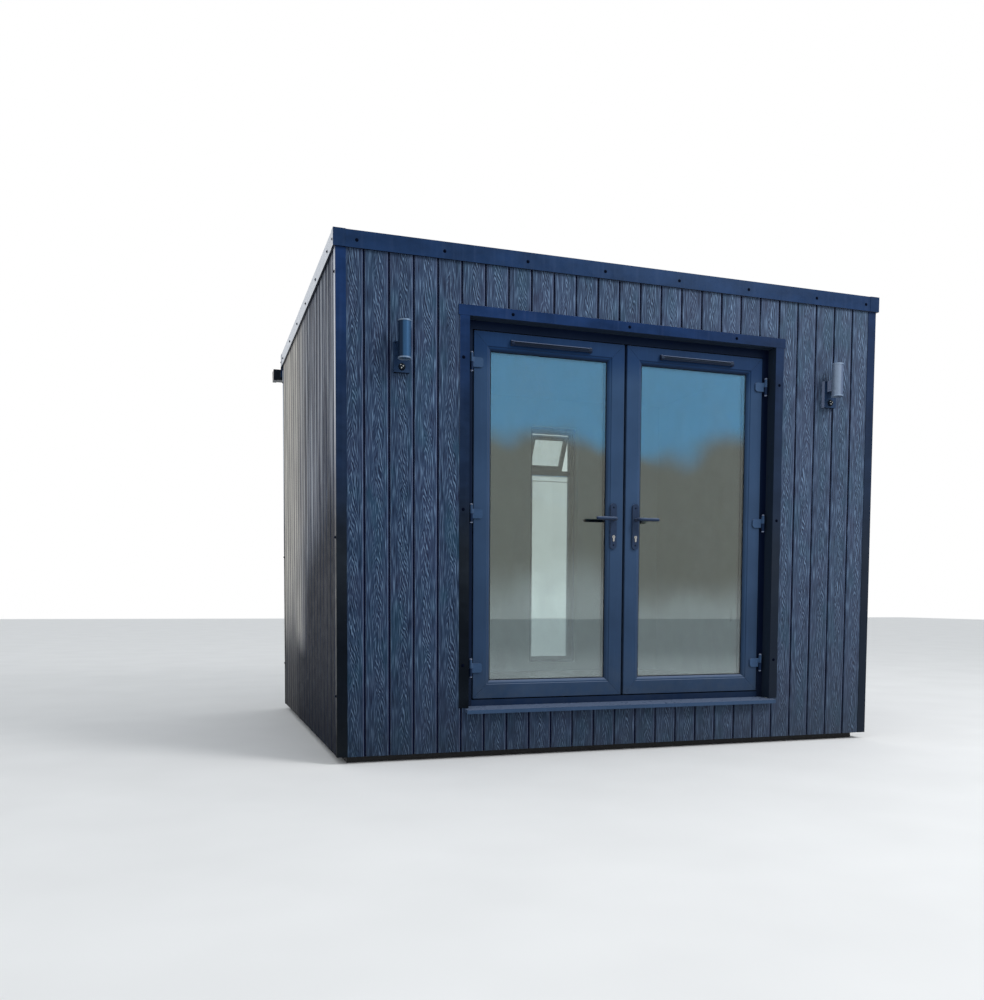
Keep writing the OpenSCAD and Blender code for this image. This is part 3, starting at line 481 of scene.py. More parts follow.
def coated(name, colours, rough=0.32, dirt=0.5, sheen=(0.25, 1.5), mirror=0.14, reveal=False):
    """Folded steel with a smooth coating: slight waves, rain marks, soil near the ground.
    colours go from the foot up to the top, sheen is the height where the sky's light on it
    starts and where it is full, and reveal paints light: the trim greyer towards the right and
    paler on what lies back inside the doorway."""
    m = Mat(name, rough=rough)
    m.gloss(mirror)
    foot, waist, chest, top = colours
    colour = m.levels((0.0, foot), (0.55, foot), (1.0, waist), (1.5, chest), (2.35, top))
    cloud = m.noise(9.0, 4.0, 0.6, vec=m.scaled(0.55, 0.55, 1.0))
    streak = m.noise(1.0, 3.0, 0.6, vec=m.scaled(46.0, 46.0, 2.1))
    shade = m.hsv(colour, m.span(cloud, 0.3, 0.72, 0.68, 1.26))
    base = m.mix(m.span(streak, 0.52, 0.78, 0.0, 0.3), shade, m.hsv(colour, 1.5, 0.86))
    speck = m.span(m.noise(210.0, 2.0, 0.6), 0.69, 0.75)
    base = m.mix(m.mul(speck, 0.3), base, srgb(92, 104, 122))
    soil = near_ground(m, 0.40)
    base = m.mix(m.mul(soil, dirt), base, srgb(34, 36, 36))
    base = m.flash(base, *sheen)
    # painted shade on faces that look down
    base = m.mix(m.under(0.85), base, srgb(5, 7, 16))
    if reveal:
        # painted light: greyer towards the right, and paler on the faces back inside the doorway
        x, y, _ = m.xyz()
        base = m.mix(m.ease(x, 0.2, 1.0, 0.0, 0.45), base, srgb(42, 50, 64))
        behind = m.span(y, DOORWAY_Y - MM, DOORWAY_Y + MM)
        between = m.span(m.math("ABSOLUTE", x), DOORWAY_HALF + 2.5 * MM, DOORWAY_HALF - 2.5 * MM)
        base = m.mix(m.mul(behind, between), base, srgb(33, 43, 57))
    m.set("Base Color", base)
    shine = m.span(m.noise(24.0, 4.0, 0.6), 0.3, 0.75, rough - 0.05, rough + 0.10)
    m.set("Roughness", m.add(shine, m.mul(soil, 0.35), clamp=True))
    m.bump(m.noise(5.5, 1.0, 0.4), 0.0006)
    m.bump(m.noise(1500.0, 1.0, 0.5), 0.00004)
    return m.m


def foil(name, colour, rough=0.34, dust=0.25, under=0.5, over=0.0, flat=0.25, film=0.10, stops=None):
    """Foiled plastic profile: a faint leathery grain, a slight change of tone at each bar,
    dust that gathers low down. under paints shade on faces that look down, over paints a
    highlight on those that look up from the tilt flat on, and film is the share of painted
    sheen at grazing angles. stops are colours by height, where it isn't one colour."""
    m = Mat(name, rough=rough)
    m.gloss(0.14)
    cloud = m.noise(4.2, 3.0, 0.5)
    base = m.levels(*stops) if stops else colour
    base = m.hsv(base, m.spread(cloud, 0.88, 1.12))
    base = m.hsv(base, m.span(m.uv()[0], 0.0, 1.0, 0.94, 1.07))
    line = m.noise(1.0, 2.0, 0.5, vec=m.scaled(260.0, 260.0, 3.0))
    base = m.mix(m.span(line, 0.56, 0.72, 0.0, 0.16), base, m.tint(colour, 1.7))
    pore = m.noise(950.0, 2.0, 0.6, vec=m.scaled(1.0, 1.0, 0.22))
    base = m.mix(m.span(pore, 0.5, 0.72, 0.0, 0.18), base, m.tint(colour, 0.62))
    low = m.mul(m.span(m.xyz()[2], 0.24, 0.55, 1.0, 0.0),
                m.span(m.noise(16.0, 4.0, 0.6), 0.3, 0.75), clamp=True)
    base = m.mix(m.mul(low, dust), base, srgb(84, 88, 88))
    # painted shade on faces that look down
    base = m.mix(m.under(under), base, srgb(5, 9, 20))
    if over:
        # painted highlight on faces that look up
        base = m.mix(m.over(over, flat), base, srgb(120, 134, 162))
    # painted sheen at grazing angles
    if film:
        base = m.painted_grazing_sheen(base, film)
    m.set("Base Color", base)
    m.set("Roughness", m.span(m.noise(30.0, 3.0, 0.6), 0.3, 0.75, rough - 0.05, rough + 0.09))
    m.bump(pore, 0.00010)
    return m.m


def metal(name, colour, rough, brushed=(1.0, 1.0, 1.0)):
    """Bare or plated metal with a fine brush line, finger marks and dull spots."""
    m = Mat(name, rough=rough, metal=1.0)
    brush = m.noise(700.0, 2.0, 0.6, vec=m.scaled(*brushed))
    blot = m.noise(40.0, 4.0, 0.6)
    base = m.mix(m.spread(brush), m.tint(colour, 0.88), m.tint(colour, 1.12))
    base = m.mix(m.span(blot, 0.56, 0.74, 0.0, 0.3), base, m.tint(colour, 0.62))
    m.set("Base Color", base)
    m.set("Roughness", m.span(blot, 0.3, 0.75, rough - 0.06, rough + 0.14))
    m.bump(brush, 0.00003)
    return m.m


def plastic(name, colour, rough, dust=0.0, mirror=0.25):
    """Moulded plastic or rubber with a slight cloudiness and dust on faces that look up."""
    m = Mat(name, rough=rough)
    m.gloss(mirror)
    cloud = m.noise(9.0, 4.0, 0.55)
    base = m.mix(m.spread(cloud), m.tint(colour, 0.92), m.tint(colour, 1.08))
    if dust:
        up = m.math("MAXIMUM", m.normal()[2], 0.0)
        fleck = m.span(m.noise(34.0, 5.0, 0.65), 0.38, 0.7)
        base = m.mix(m.mul(m.mul(up, fleck), dust, clamp=True), base, srgb(128, 124, 114))
    m.set("Base Color", base)
    m.set("Roughness", m.span(m.noise(55.0, 3.0, 0.6), 0.3, 0.75, rough - 0.06, rough + 0.1))
    m.bump(m.noise(600.0, 2.0, 0.5), 0.00005)
    return m.m


def painted_wall(name, colour, kerbs=None):
    """Smooth painted boards with roller stipple, dark roof sheet above the height of kerbs."""
    m = Mat(name, rough=0.62)
    cloud = m.noise(1.7, 3.0, 0.5)
    base = m.mix(m.spread(cloud), m.tint(colour, 0.95), m.tint(colour, 1.02))
    scuff = m.span(m.noise(7.0, 5.0, 0.7), 0.66, 0.76)
    base = m.mix(m.mul(scuff, 0.12), base, m.tint(colour, 0.72))
    if kerbs:
        sheet = m.mix(m.spread(cloud), srgb(40, 42, 46), srgb(58, 60, 64))
        base = m.mix(m.span(m.xyz()[2], kerbs, kerbs + 2 * MM), base, sheet)
    m.set("Base Color", base)
    m.bump(m.noise(420.0, 3.0, 0.6), 0.00022)
    return m.m


def timber(name, colour, along=0):
    """Sawn timber with its grain along one axis."""
    m = Mat(name, rough=0.75)
    stretch = [34.0, 34.0, 34.0]
    stretch[along] = 1.6
    grain = m.noise(1.0, 5.0, 0.62, vec=m.scaled(*stretch), warp=1.2)
    base = m.mix(m.spread(grain), m.tint(colour, 0.66), m.tint(colour, 1.22))
    base = m.mix(m.span(m.noise(5.0, 3.0, 0.5), 0.45, 0.75, 0.0, 0.4), base, m.tint(colour, 0.55))
    m.set("Base Color", base)
    m.bump(grain, 0.0007)
    m.bump(m.noise(500.0, 2.0, 0.5), 0.00015)
    return m.m


def plank_material():
    """Laminate floor: UV x is the plank's number, UV y the run along it in metres."""
    m = Mat("floor_laminate", rough=0.38)
    number = m.uv()[0]
    chance = m.n("TexWhiteNoise", {"W": number}, noise_dimensions="1D").outputs["Value"]
    x, y, _ = m.xyz()
    at = m.n("CombineXYZ", {0: m.mul(x, 2.2), 1: m.mul(y, 30.0), 2: m.mul(number, 1.37)}).outputs[0]
    grain = m.noise(1.0, 5.0, 0.6, vec=at, warp=1.6)
    base = m.mix(m.spread(grain), srgb(84, 76, 68), srgb(128, 117, 104))
    m.set("Base Color", m.hsv(base, m.span(chance, 0.0, 1.0, 0.82, 1.14)))
    m.set("Roughness", m.spread(grain, 0.44, 0.32))
    m.bump(grain, 0.0002)
    return m.m


def rubber_roof():
    """Roof sheet with chalky dust, faint marks where water stood and faint creases."""
    m = Mat("roof_sheet", rough=0.68)
    cloud = m.noise(1.6, 5.0, 0.6)
    base = m.mix(m.span(cloud, 0.36, 0.66), srgb(40, 42, 46), srgb(74, 76, 79))
    pond = m.noise(2.1, 2.0, 0.4, vec=m.shifted((3.1, 1.7, 0.0)))
    ring = m.mul(m.ease(pond, 0.50, 0.59), m.ease(pond, 0.60, 0.70, 1.0, 0.0))
    base = m.mix(m.mul(ring, 0.12), base, srgb(112, 110, 102))
    leaf = m.span(m.noise(95.0, 3.0, 0.6), 0.70, 0.74)
    base = m.mix(m.mul(leaf, 0.5), base, srgb(92, 84, 62))
    m.set("Base Color", base)
    m.bump(m.noise(1.0, 3.0, 0.6, vec=m.scaled(3.0, 9.0, 3.0)), 0.0024)
    m.bump(m.noise(380.0, 2.0, 0.5), 0.00015)
    return m.m


def lamp_plate_material():
    """Coated lamp plate with painted light: a painted highlight on the left edge of the lamp at the
    right and on faces that look up, painted shade on faces that look down; its sensor dome black.
    """
    m = Mat("lamp_plate", rough=0.36)
    m.gloss(0.2)
    cloud = m.noise(30.0, 3.0, 0.55)
    base = m.mix(m.spread(cloud), srgb(26, 43, 70), srgb(36, 54, 82))
    # painted light on faces that look left, on the lamp at the right
    left = m.mul(m.ease(m.normal()[0], -0.3, -0.8, 0.0, 0.85), m.span(m.xyz()[0], -0.1, 0.1))
    base = m.mix(left, base, srgb(126, 138, 164))
    # painted highlight on faces that look up
    base = m.mix(m.over(0.8), base, srgb(110, 124, 152))
    _, y, z = m.xyz()
    dome = m.mul(m.span(y, LAMP_PLATE_Y - 0.3 * MM, LAMP_PLATE_Y - 0.7 * MM),
                 m.span(z, LAMP_DOME_TOP + 0.5 * MM, LAMP_DOME_TOP))
    base = m.mix(dome, base, srgb(7, 10, 17))
    # painted shade on faces that look down
    m.set("Base Color", m.mix(m.under(0.8), base, srgb(6, 9, 18)))
    m.set("Roughness", m.spread(cloud, 0.30, 0.42))
    m.bump(m.noise(900.0, 2.0, 0.5), 0.00004)
    return m.m


def lamp_tube_material():
    """Coated tube, dull grey blue, with pale rims and a painted reflection: greyer on the lamp at
    the right, darker down the left of the lamp at the left and the right of the lamp at the right.
    """
    m = Mat("lamp_tube", rough=0.34, metal=0.35)
    m.gloss(0.3)
    x, y, z = m.xyz()
    right = m.span(x, -0.1, 0.1)
    # painted reflection: the lamp at the right greyer, and each lamp darker down one side
    colour = m.mix(right, srgb(44, 76, 110), srgb(122, 136, 156))
    turned = m.sub(x, m.mul(m.add(y, -TUBE_Y), 0.23))
    dark = m.mul(m.ease(turned, -TUBE_X - 4.5 * MM, -TUBE_X + 4.5 * MM, 1.0, 0.0), m.sub(1.0, right))
    side = m.mul(m.ease(turned, TUBE_X - 9.5 * MM, TUBE_X + 10.5 * MM), right)
    brush = m.noise(900.0, 2.0, 0.6, vec=m.scaled(1.0, 1.0, 0.06))
    blot = m.noise(40.0, 4.0, 0.6)
    colour = m.mix(m.mul(dark, 0.85), colour, srgb(6, 14, 34))
    colour = m.mix(m.mul(side, 0.7), colour, srgb(60, 72, 104))
    colour = m.hsv(colour, m.spread(brush, 0.90, 1.10))
    colour = m.mix(m.span(blot, 0.56, 0.74, 0.0, 0.2), colour, srgb(30, 40, 56))
    rim = m.span(m.math("ABSOLUTE", m.sub(z, TUBE_Z)), TUBE_HALF - 0.5 * MM, TUBE_HALF + 0.5 * MM)
    m.set("Base Color", m.mix(m.mul(rim, 0.6), colour, srgb(132, 150, 172)))
    m.set("Roughness", m.span(blot, 0.3, 0.75, 0.30, 0.44))
    m.bump(brush, 0.00003)
    return m.m


def glass_material(name, tint, haze):
    """Thin pane: clear, with a mirror that grows towards grazing angles, its colour a painted
    reflection, blue above and grey below as in the photograph, and a film of dust."""
    m = Mat(name)
    m.tree.nodes.remove(m.shader)
    clear = m.n("BsdfTransparent", {"Color": tint})
    cloud = m.noise(1.1, 3.0, 0.5, vec=m.scaled(1.0, 1.0, 0.8))
    height = m.add(m.xyz()[2], m.spread(cloud, -0.16, 0.16))
    # painted reflection: the grey of the walls low down and the blue of the sky high up
    wall = m.mix(m.ease(height, 0.75, 1.05), (0.66, 0.72, 0.74, 1.0), (0.36, 0.36, 0.33, 1.0))
    sky = m.mix(m.ease(height, 1.55, 1.70), wall, (0.26, 0.62, 1.0, 1.0))
    gloss = m.n("BsdfGlossy", {"Color": sky, "Roughness": 0.015})
    film = m.n("BsdfDiffuse", {"Color": srgb(150, 155, 158)})
    edge = m.n("LayerWeight", {"Blend": 0.36})
    share = m.span(edge.outputs["Fresnel"], 0.0, 1.0, 0.085, 0.95)
    pane = m.n("MixShader", {0: share, 1: clear.outputs[0], 2: gloss.outputs[0]})
    smear = m.span(m.noise(7.0, 5.0, 0.65, vec=m.scaled(1.0, 1.0, 0.45)), 0.42, 0.8, 0.0, haze)
    low = m.mul(m.span(m.xyz()[2], 0.36, 0.8, 1.0, 0.0), haze)
    dirty = m.n("MixShader", {0: m.add(smear, low, clamp=True), 1: pane.outputs[0], 2: film.outputs[0]})
    m.put(m.tree.nodes["Material Output"].inputs["Surface"], dirty.outputs[0])
    return m.m


BOARD = board_material("board_composite")
SIDE_BOARD = board_material("board_weathered", painted_side_light=True)
# darker towards the foot, partly dirt and partly painted shade
TRIM = coated("trim_navy", (srgb(16, 20, 26), srgb(29, 34, 41), srgb(29, 43, 67), srgb(27, 49, 88)),
              sheen=(1.1, 1.9), mirror=0.03, reveal=True)
FASCIA = coated("fascia_navy", [srgb(25, 46, 80)] * 4, rough=0.28, dirt=0.0)
CAP = coated("cap_navy", [srgb(24, 44, 76)] * 4, rough=0.30, dirt=0.0)
# near black, as painted shade of the deep reveal on the door frame
FRAME = foil("frame_foil", srgb(9, 18, 40), dust=0.1, film=0.0)
THRESHOLD = foil("threshold_foil", srgb(19, 35, 62), dust=0.1, film=0.0)
WINDOW = foil("window_foil", srgb(44, 66, 96))
# painted shade: the sash darker at the top rails, under the head trim
SASH = foil("sash_foil", srgb(40, 66, 97), over=0.5, stops=(
    (0.30, srgb(39, 57, 83)), (0.45, srgb(39, 57, 83)), (1.20, srgb(47, 67, 95)), (1.90, srgb(42, 64, 94)),
    (2.06, srgb(16, 42, 78))))
SILL = foil("sill_foil", srgb(50, 70, 98), rough=0.30, dust=0.06, over=0.45)
VENT = foil("vent_plastic", srgb(5, 14, 38), dust=0.0, under=0.8, over=1.0, flat=0.45)
GASKET = plastic("gasket_rubber", srgb(9, 11, 15), rough=0.55)
SHADE = plastic("slot_dark", srgb(6, 7, 10), rough=0.8)
SPACER = metal("spacer_bar", (0.30, 0.31, 0.33, 1.0), rough=0.45)
GLASS = glass_material("window_glass", (0.90, 0.945, 0.94, 1.0), 0.05)
REAR_GLASS = glass_material("rear_glass", (0.975, 0.99, 0.985, 1.0), 0.02)
HINGE = foil("hinge_coating", srgb(50, 72, 102), dust=0.0, under=0.9, over=0.8)
BARREL = foil("hinge_barrel", srgb(20, 33, 58), dust=0.0, under=0.9, over=0.5, film=0.0)
# pale, as painted highlight on the knobs at the ends of the hinge pins
KNOB = plastic("hinge_knob", srgb(118, 128, 150), rough=0.3)
HANDLE = foil("handle_coating", srgb(38, 50, 72), rough=0.27, dust=0.0, over=0.7, flat=0.4)
KEYMETAL = metal("key_cylinder", (0.36, 0.36, 0.35, 1.0), rough=0.25)
SCREW = plastic("screw_head", srgb(6, 11, 27), rough=0.40, mirror=0.01)
LAMP = lamp_plate_material()
TUBE = lamp_tube_material()
LENS = plastic("lamp_lens", srgb(206, 208, 205), rough=0.2)
STEEL = metal("stay_steel", (0.52, 0.53, 0.55, 1.0), rough=0.34, brushed=(1.0, 6.0, 1.0))
LINING = painted_wall("wall_paint", srgb(226, 226, 222))
CEILING = painted_wall("ceiling_paint", srgb(230, 230, 227), kerbs=ROOF_KERB_Z)
SUBFLOOR = timber("floor_panel", srgb(120, 98, 70))
# near black, as painted shade in the gap under the cladding
BASE = timber("base_timber", srgb(28, 28, 30), along=1)
FLOOR = plank_material()
ROOF = rubber_roof()
GUTTER = plastic("gutter_black", srgb(22, 23, 26), rough=0.30, dust=0.45)
SOCKET = plastic("socket_white", srgb(232, 231, 225), rough=0.25)


# ---------------- cladding

def board_outline(lo, hi, first):
    """Section of a run of boards: (along, depth) points, with a groove at every pitch."""
    half = GROOVE / 2
    groove = ((-half - CHAMFER, 0.0), (-half, CHAMFER), (-half, GROOVE_DEPTH),
              (half, GROOVE_DEPTH), (half, CHAMFER), (half + CHAMFER, 0.0))
    k = math.floor((lo - first) / BOARD_PITCH) - 1
    front = [(lo, 0.0)]
    while first + k * BOARD_PITCH < hi + BOARD_PITCH:
        for step, depth in groove:
            along = first + k * BOARD_PITCH + step
            if lo + 1e-6 < along < hi - 1e-6:
                if len(front) == 1 and depth > 0:
                    front[0] = (lo, depth)
                front.append((along, depth))
        k += 1
    return front + [(hi, front[-1][1]), (hi, BOARD_THICK), (lo, BOARD_THICK)]


def clad(shape, wall, face, lo, hi, z0, z1):
    """Boards on one wall, from lo to hi along it and z0 to z1 up it."""
    first = FIRST_GROOVE[wall]
    place, along = {
        "front": (lambda a, d, z: (a, face + d, z), lambda p: p[0]),
        "rear": (lambda a, d, z: (-a, face - d, z), lambda p: -p[0]),
        "left": (lambda a, d, z: (face + d, -a, z), lambda p: -p[1]),
        "right": (lambda a, d, z: (face - d, a, z), lambda p: p[1]),
    }[wall]
    shape.add(prism(board_outline(lo, hi, first), z0, z1, place),
              uv=lambda p: ((along(p) - first) / BOARD_PITCH + FIRST_BOARD[wall], p[2]))


def make_cladding():
    def piece(name, wall, *runs):
        shape = Shape()
        lo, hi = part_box(name)
        face = {"front": lo.y, "rear": hi.y, "left": lo.x, "right": hi.x}[wall]
        for run in runs:
            clad(shape, wall, face, *run)
        board = BOARD if wall == "front" else SIDE_BOARD
        shape.piece(name + "_boards", "building", "composite_boards", [board], [name])

    for name in ("front_cladding_left", "front_cladding_right", "front_cladding_over_door",
                 "front_cladding_under_door"):
        lo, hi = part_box(name)
        piece(name, "front", (lo.x, hi.x, lo.z, hi.z))
    lo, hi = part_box("left_cladding")
    piece("left_cladding", "left", (-hi.y, -lo.y, lo.z, hi.z))
    lo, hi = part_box("right_cladding")
    piece("right_cladding", "right", (lo.y, hi.y, lo.z, hi.z))
    win_lo, win_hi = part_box("rear_window_frame")
    for name in ("rear_cladding_left", "rear_cladding_right"):
        lo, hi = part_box(name)
        if name.endswith("left"):
            whole, beside = (-win_lo.x, -lo.x), (-hi.x, -win_lo.x)
        else:
            whole, beside = (-hi.x, -win_hi.x), (-win_hi.x, -lo.x)
        piece(name, "rear", (*whole, lo.z, hi.z), (*beside, lo.z, win_lo.z), (*beside, win_hi.z, hi.z))


# ---------------- doors

def in_metres(*points):
    return [(a * MM, b * MM) for a, b in points]


# Sections as (depth, offset) points in millimetres
SASH_PROFILE = in_metres(
    (2.6, 0), (0.8, 0.8), (0, 2.6), (0, 69.5), (0.5, 71.4), (2.0, 72.6), (3.8, 73.6), (4.2, 76.5),
    (4.9, 79.5), (6.8, 83.2), (9.8, 86.6), (14.0, 89.6), (20, 92.6), (20, 82), (44, 82), (44, 92.6),
    (57, 92.6), (60.6, 90.6), (62, 87), (62, 2.6), (61.2, 0.8), (59.4, 0))
SEAL_OUTSIDE = in_metres((17.4, 90.9), (17.9, 94.3), (20, 95.8), (20, 90.9))
SEAL_INSIDE = in_metres((44, 90.9), (44, 95.8), (46, 94.3), (46.6, 90.9))
SPACER_PROFILE = in_metres((0, 0), (0, 14.5), (16, 14.5), (16, 0))
PANE = 4 * MM

# Sections of the vent as shares of its depth and height, and the width of its end caps
VENT_HOOD = [(0, 0.10), (-0.80, 0.10), (-0.86, 0.02), (-1.0, 0.0), (-1.0, 0.34), (-0.93, 0.55),
             (-0.74, 0.78), (-0.42, 0.94), (0, 1.0)]
VENT_END = [(0, 0), (-0.97, 0), (-1.0, 0.06), (-1.0, 0.36), (-0.95, 0.58), (-0.76, 0.82), (-0.44, 0.97),
            (0, 1.0)]
VENT_CAP = 12 * MM

# Solids of revolution as (radius, height) points in millimetres, and the key cylinder's lower part
KEY_DISC = in_metres((0, 0.6), (7.9, 0.6), (8.5, 0), (8.5, -1.2), (0, -1.2))
KEY_LEG = in_metres((4.9, -6.2), (4.9, -20.5), (3.4, -23.6), (0, -24.7), (-3.4, -23.6), (-4.9, -20.5),
                    (-4.9, -6.2))
HINGE_KNOB = in_metres((0, 5.6), (3.4, 5.2), (6.2, 3.6), (7.5, 1.2), (7.5, -0.8), (6.2, -1.8), (0, -1.8))
LAMP_LENS = in_metres((0, 4), (11, 3.6), (21, 2), (26.6, 0), (26.6, -1), (0, -1))
SENSOR_GLINT = in_metres((0, 1.5), (2.2, 1.1), (3.2, 0), (0, -0.8))
SCREW_CAP = [(0.0, 0.68), (0.22, 0.66), (0.45, 0.58), (0.64, 0.42), (0.76, 0.20), (0.80, 0.12),
             (0.97, 0.10), (1.0, 0.04), (1.0, -0.10), (0.0, -0.10)]


def screw(at, along=(0, -1, 0), r=8.2 * MM):
    """Round domed cap of a screw with a thin flange, standing on the face at the point."""
    return lathe([(a * r, b * r) for a, b in SCREW_CAP], at, along, 20)


def make_door(right):
    """Everything that scene.py makes for one door, drawn as the right one."""
    side = "right" if right else "left"
    lo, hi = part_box("right_sash")
    glass_lo, glass_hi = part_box("right_glass")

    def finish(shape, name, slot, materials, replaces=()):
        made = shape if right else shape.mirrored()
        made.piece(f"{side}_{name}", side + "_door", slot, materials, replaces)

    sash = Shape()
    mitred_ring(sash, (lo.x, lo.z), (hi.x, hi.z), lo.y, SASH_PROFILE)
    if not right:
        strip_edge = -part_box("left_sash")[1].x
        sash.add(box((strip_edge, lo.y + 12 * MM, lo.z), (lo.x + MM, lo.y + 43 * MM, hi.z)), 1,
                 uv=lambda p: (0.3, p[2]))
    finish(sash, "sash_bars", "frame_foil", [SASH, SASH], [side + "_sash"])

    seals = Shape()
    for profile in (SEAL_OUTSIDE, SEAL_INSIDE):
        mitred_ring(seals, (lo.x, lo.z), (hi.x, hi.z), lo.y, profile, gap=0.0)
    finish(seals, "glazing_seals", "frame_foil", [GASKET])

    panes = Shape()
    for y in (glass_lo.y, glass_hi.y - PANE):
        panes.add(box((glass_lo.x, y, glass_lo.z), (glass_hi.x, y + PANE, glass_hi.z)))
    finish(panes, "glass_panes", "clear_glass", [GLASS], [side + "_glass"])
    spacer = Shape()
    mitred_ring(spacer, (glass_lo.x, glass_lo.z), (glass_hi.x, glass_hi.z), glass_lo.y + PANE,
                SPACER_PROFILE, gap=0.0)
    finish(spacer, "glass_spacer", "clear_glass", [SPACER])

    vent_lo, vent_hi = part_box("right_vent")
    deep, high, back = vent_hi.y - vent_lo.y, vent_hi.z - vent_lo.z, vent_hi.y

    def at(u, v, x):
        return (x, back + u * deep, vent_lo.z + v * high)

    vent = Shape()
    vent.add(prism([(u * 0.95, 0.03 + v * 0.94) for u, v in reversed(VENT_HOOD)],
                   vent_lo.x + VENT_CAP, vent_hi.x - VENT_CAP, at))
    for x0, x1 in ((vent_lo.x, vent_lo.x + VENT_CAP), (vent_hi.x - VENT_CAP, vent_hi.x)):
        vent.add(prism(list(reversed(VENT_END)), x0, x1, at))
    for k in range(3):
        v = 0.20 + 0.17 * k
        vent.add(box((vent_lo.x + 18 * MM, back - deep * 0.975, vent_lo.z + v * high),
                     (vent_hi.x - 18 * MM, back - deep * 0.93, vent_lo.z + (v + 0.07) * high)), 1)
    finish(vent, "vent_hood", "frame_foil", [VENT, SHADE], [side + "_vent"])

    fix = Shape()
    plate_lo, plate_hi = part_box("right_handle_plates")
    mid = (plate_lo.x + plate_hi.x) / 2
    key_z = HANDLE_Z - KEY_DROP
    for sign, face in ((-1, plate_lo.y), (1, plate_hi.y)):
        along = (0, sign, 0)
        for z in (plate_lo.z + 22 * MM, plate_hi.z - 22 * MM):
            fix.add(screw((mid, face - sign * 3 * MM, z), along, 4.2 * MM))
        fix.add(lathe(KEY_DISC, (mid, face, key_z), along), 2)
        fix.add(prism([(mid + u, key_z + v) for u, v in KEY_LEG],
                      *sorted((face + sign * 0.4 * MM, face - sign * 1.2 * MM)),
                      lambda u, v, w: (u, w, v)), 2)
        slot = sorted((face + sign * 0.8 * MM, face - sign * 0.4 * MM))
        fix.add(box((mid - 1.1 * MM, slot[0], key_z - 4.5 * MM),
                    (mid + 1.1 * MM, slot[1], key_z + 4.5 * MM)), 1)
    finish(fix, "handle_screws", "handle_chrome", [SCREW, SHADE, KEYMETAL])


def make_hinge_caps():
    """Round knobs at both ends of the hinge pins."""
    pin_x, pin_y, barrel, gap = 0.846, -1.147, 82 * MM, 3 * MM
    for side, sign in (("left", -1), ("right", 1)):
        shape = Shape()
        for z in (0.406, 1.1785, 1.923):
            for end, out in ((z - gap, -1), (z + barrel + gap, 1)):
                shape.add(lathe(HINGE_KNOB, (sign * pin_x, pin_y, end), (0, 0, out), 20), soft=True)
        shape.piece(side + "_hinge_caps", "building", "hinge_metal", [KNOB])


# ---------------- small parts

def make_screws():
    """Domed screw caps on the folded trims and fascias, where the photograph has them."""
    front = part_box("front_fascia")[0].y
    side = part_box("left_fascia")[0].x
    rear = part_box("rear_fascia")[1]
    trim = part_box("corner_trims")[0]
    shape = Shape()

    def add(x, y, z, along=(0, -1, 0)):
        shape.add(screw((x, y, z), along), soft=True)

    for x in (-1.425, -1.002, -0.577, -0.158, 0.265, 0.685, 1.119, 1.448):
        add(x, front, 2.455)
    for y in (-1.191, -1.026, -0.611, -0.193, 0.219, 0.625, 1.073, 1.196):
        add(side, y, 2.452, (-1, 0, 0))
        add(-side, y, 2.452, (1, 0, 0))
    for z in (2.310, 1.082, 0.328):
        for y in (trim.y + 20 * MM, -trim.y - 20 * MM):
            add(trim.x, y, z, (-1, 0, 0))
            add(-trim.x, y, z, (1, 0, 0))
    for x in (-0.650, -0.0135, 0.622):
        add(x, trim.y - LAP, 2.194)
    for x in (-0.903, 0.897):
        for z in (1.967, 1.232, 0.465):
            add(x, trim.y, z)
    for x in (-1.3, -0.9, -0.45, 0.0, 0.45, 0.9, 1.3):
        add(x, rear.y, rear.z - 12 * MM, (0, 1, 0))
    shape.piece("trim_screws", "building", "dark_trim", [SCREW])


def make_head_lap():
    """The head trim laps over the jamb trims: a thin plate as wide as both."""
    lo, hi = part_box("door_trims")
    half, high, proud = 0.930, 50 * MM, 0.8 * MM
    shape = Shape()
    shape.add(box((-half, lo.y - LAP, hi.z - high), (half, lo.y, hi.z + proud)))
    shape.piece("head_trim_lap", "building", "dark_trim", [TRIM], bevel=0.4 * MM, segments=1)


def make_lights():
    """Lenses in the tubes, pale spots on the sensor domes as painted glints, and plate screws
    of the two wall lights.
    """
    lo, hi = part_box("light_tubes")
    plate_lo, plate_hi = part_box("light_brackets")
    tube_radius, lens_back, dome_radius = 31.5 * MM, 21.5 * MM, 17 * MM
    x, y = hi.x - tube_radius, (lo.y + hi.y) / 2
    dome_z = plate_lo.z + 25.5 * MM
    shape = Shape()
    for cx in (-x, x):
        for z, out in ((lo.z, -1), (hi.z, 1)):
            shape.add(lathe(LAMP_LENS, (cx, y, z - out * lens_back), (0, 0, out), 32), soft=True)
        # painted glints: three pale spots on each sensor dome
        for a, b in ((-8 * MM, 7 * MM), (2 * MM, MM), (-5 * MM, -7 * MM)):
            d = math.sqrt(dome_radius ** 2 - a * a - b * b)
            shape.add(lathe(SENSOR_GLINT, (cx + a, LAMP_PLATE_Y - d + 0.4 * MM, dome_z + b), (a, -d, b), 12),
                      soft=True)
        for dx in (-30 * MM, 30 * MM):
            shape.add(screw((cx + dx, LAMP_PLATE_Y, plate_hi.z - 9 * MM), r=3.4 * MM), 2, soft=True)
    shape.piece("light_lenses", "building", "lamp_grey", [LENS, STEEL, SCREW])


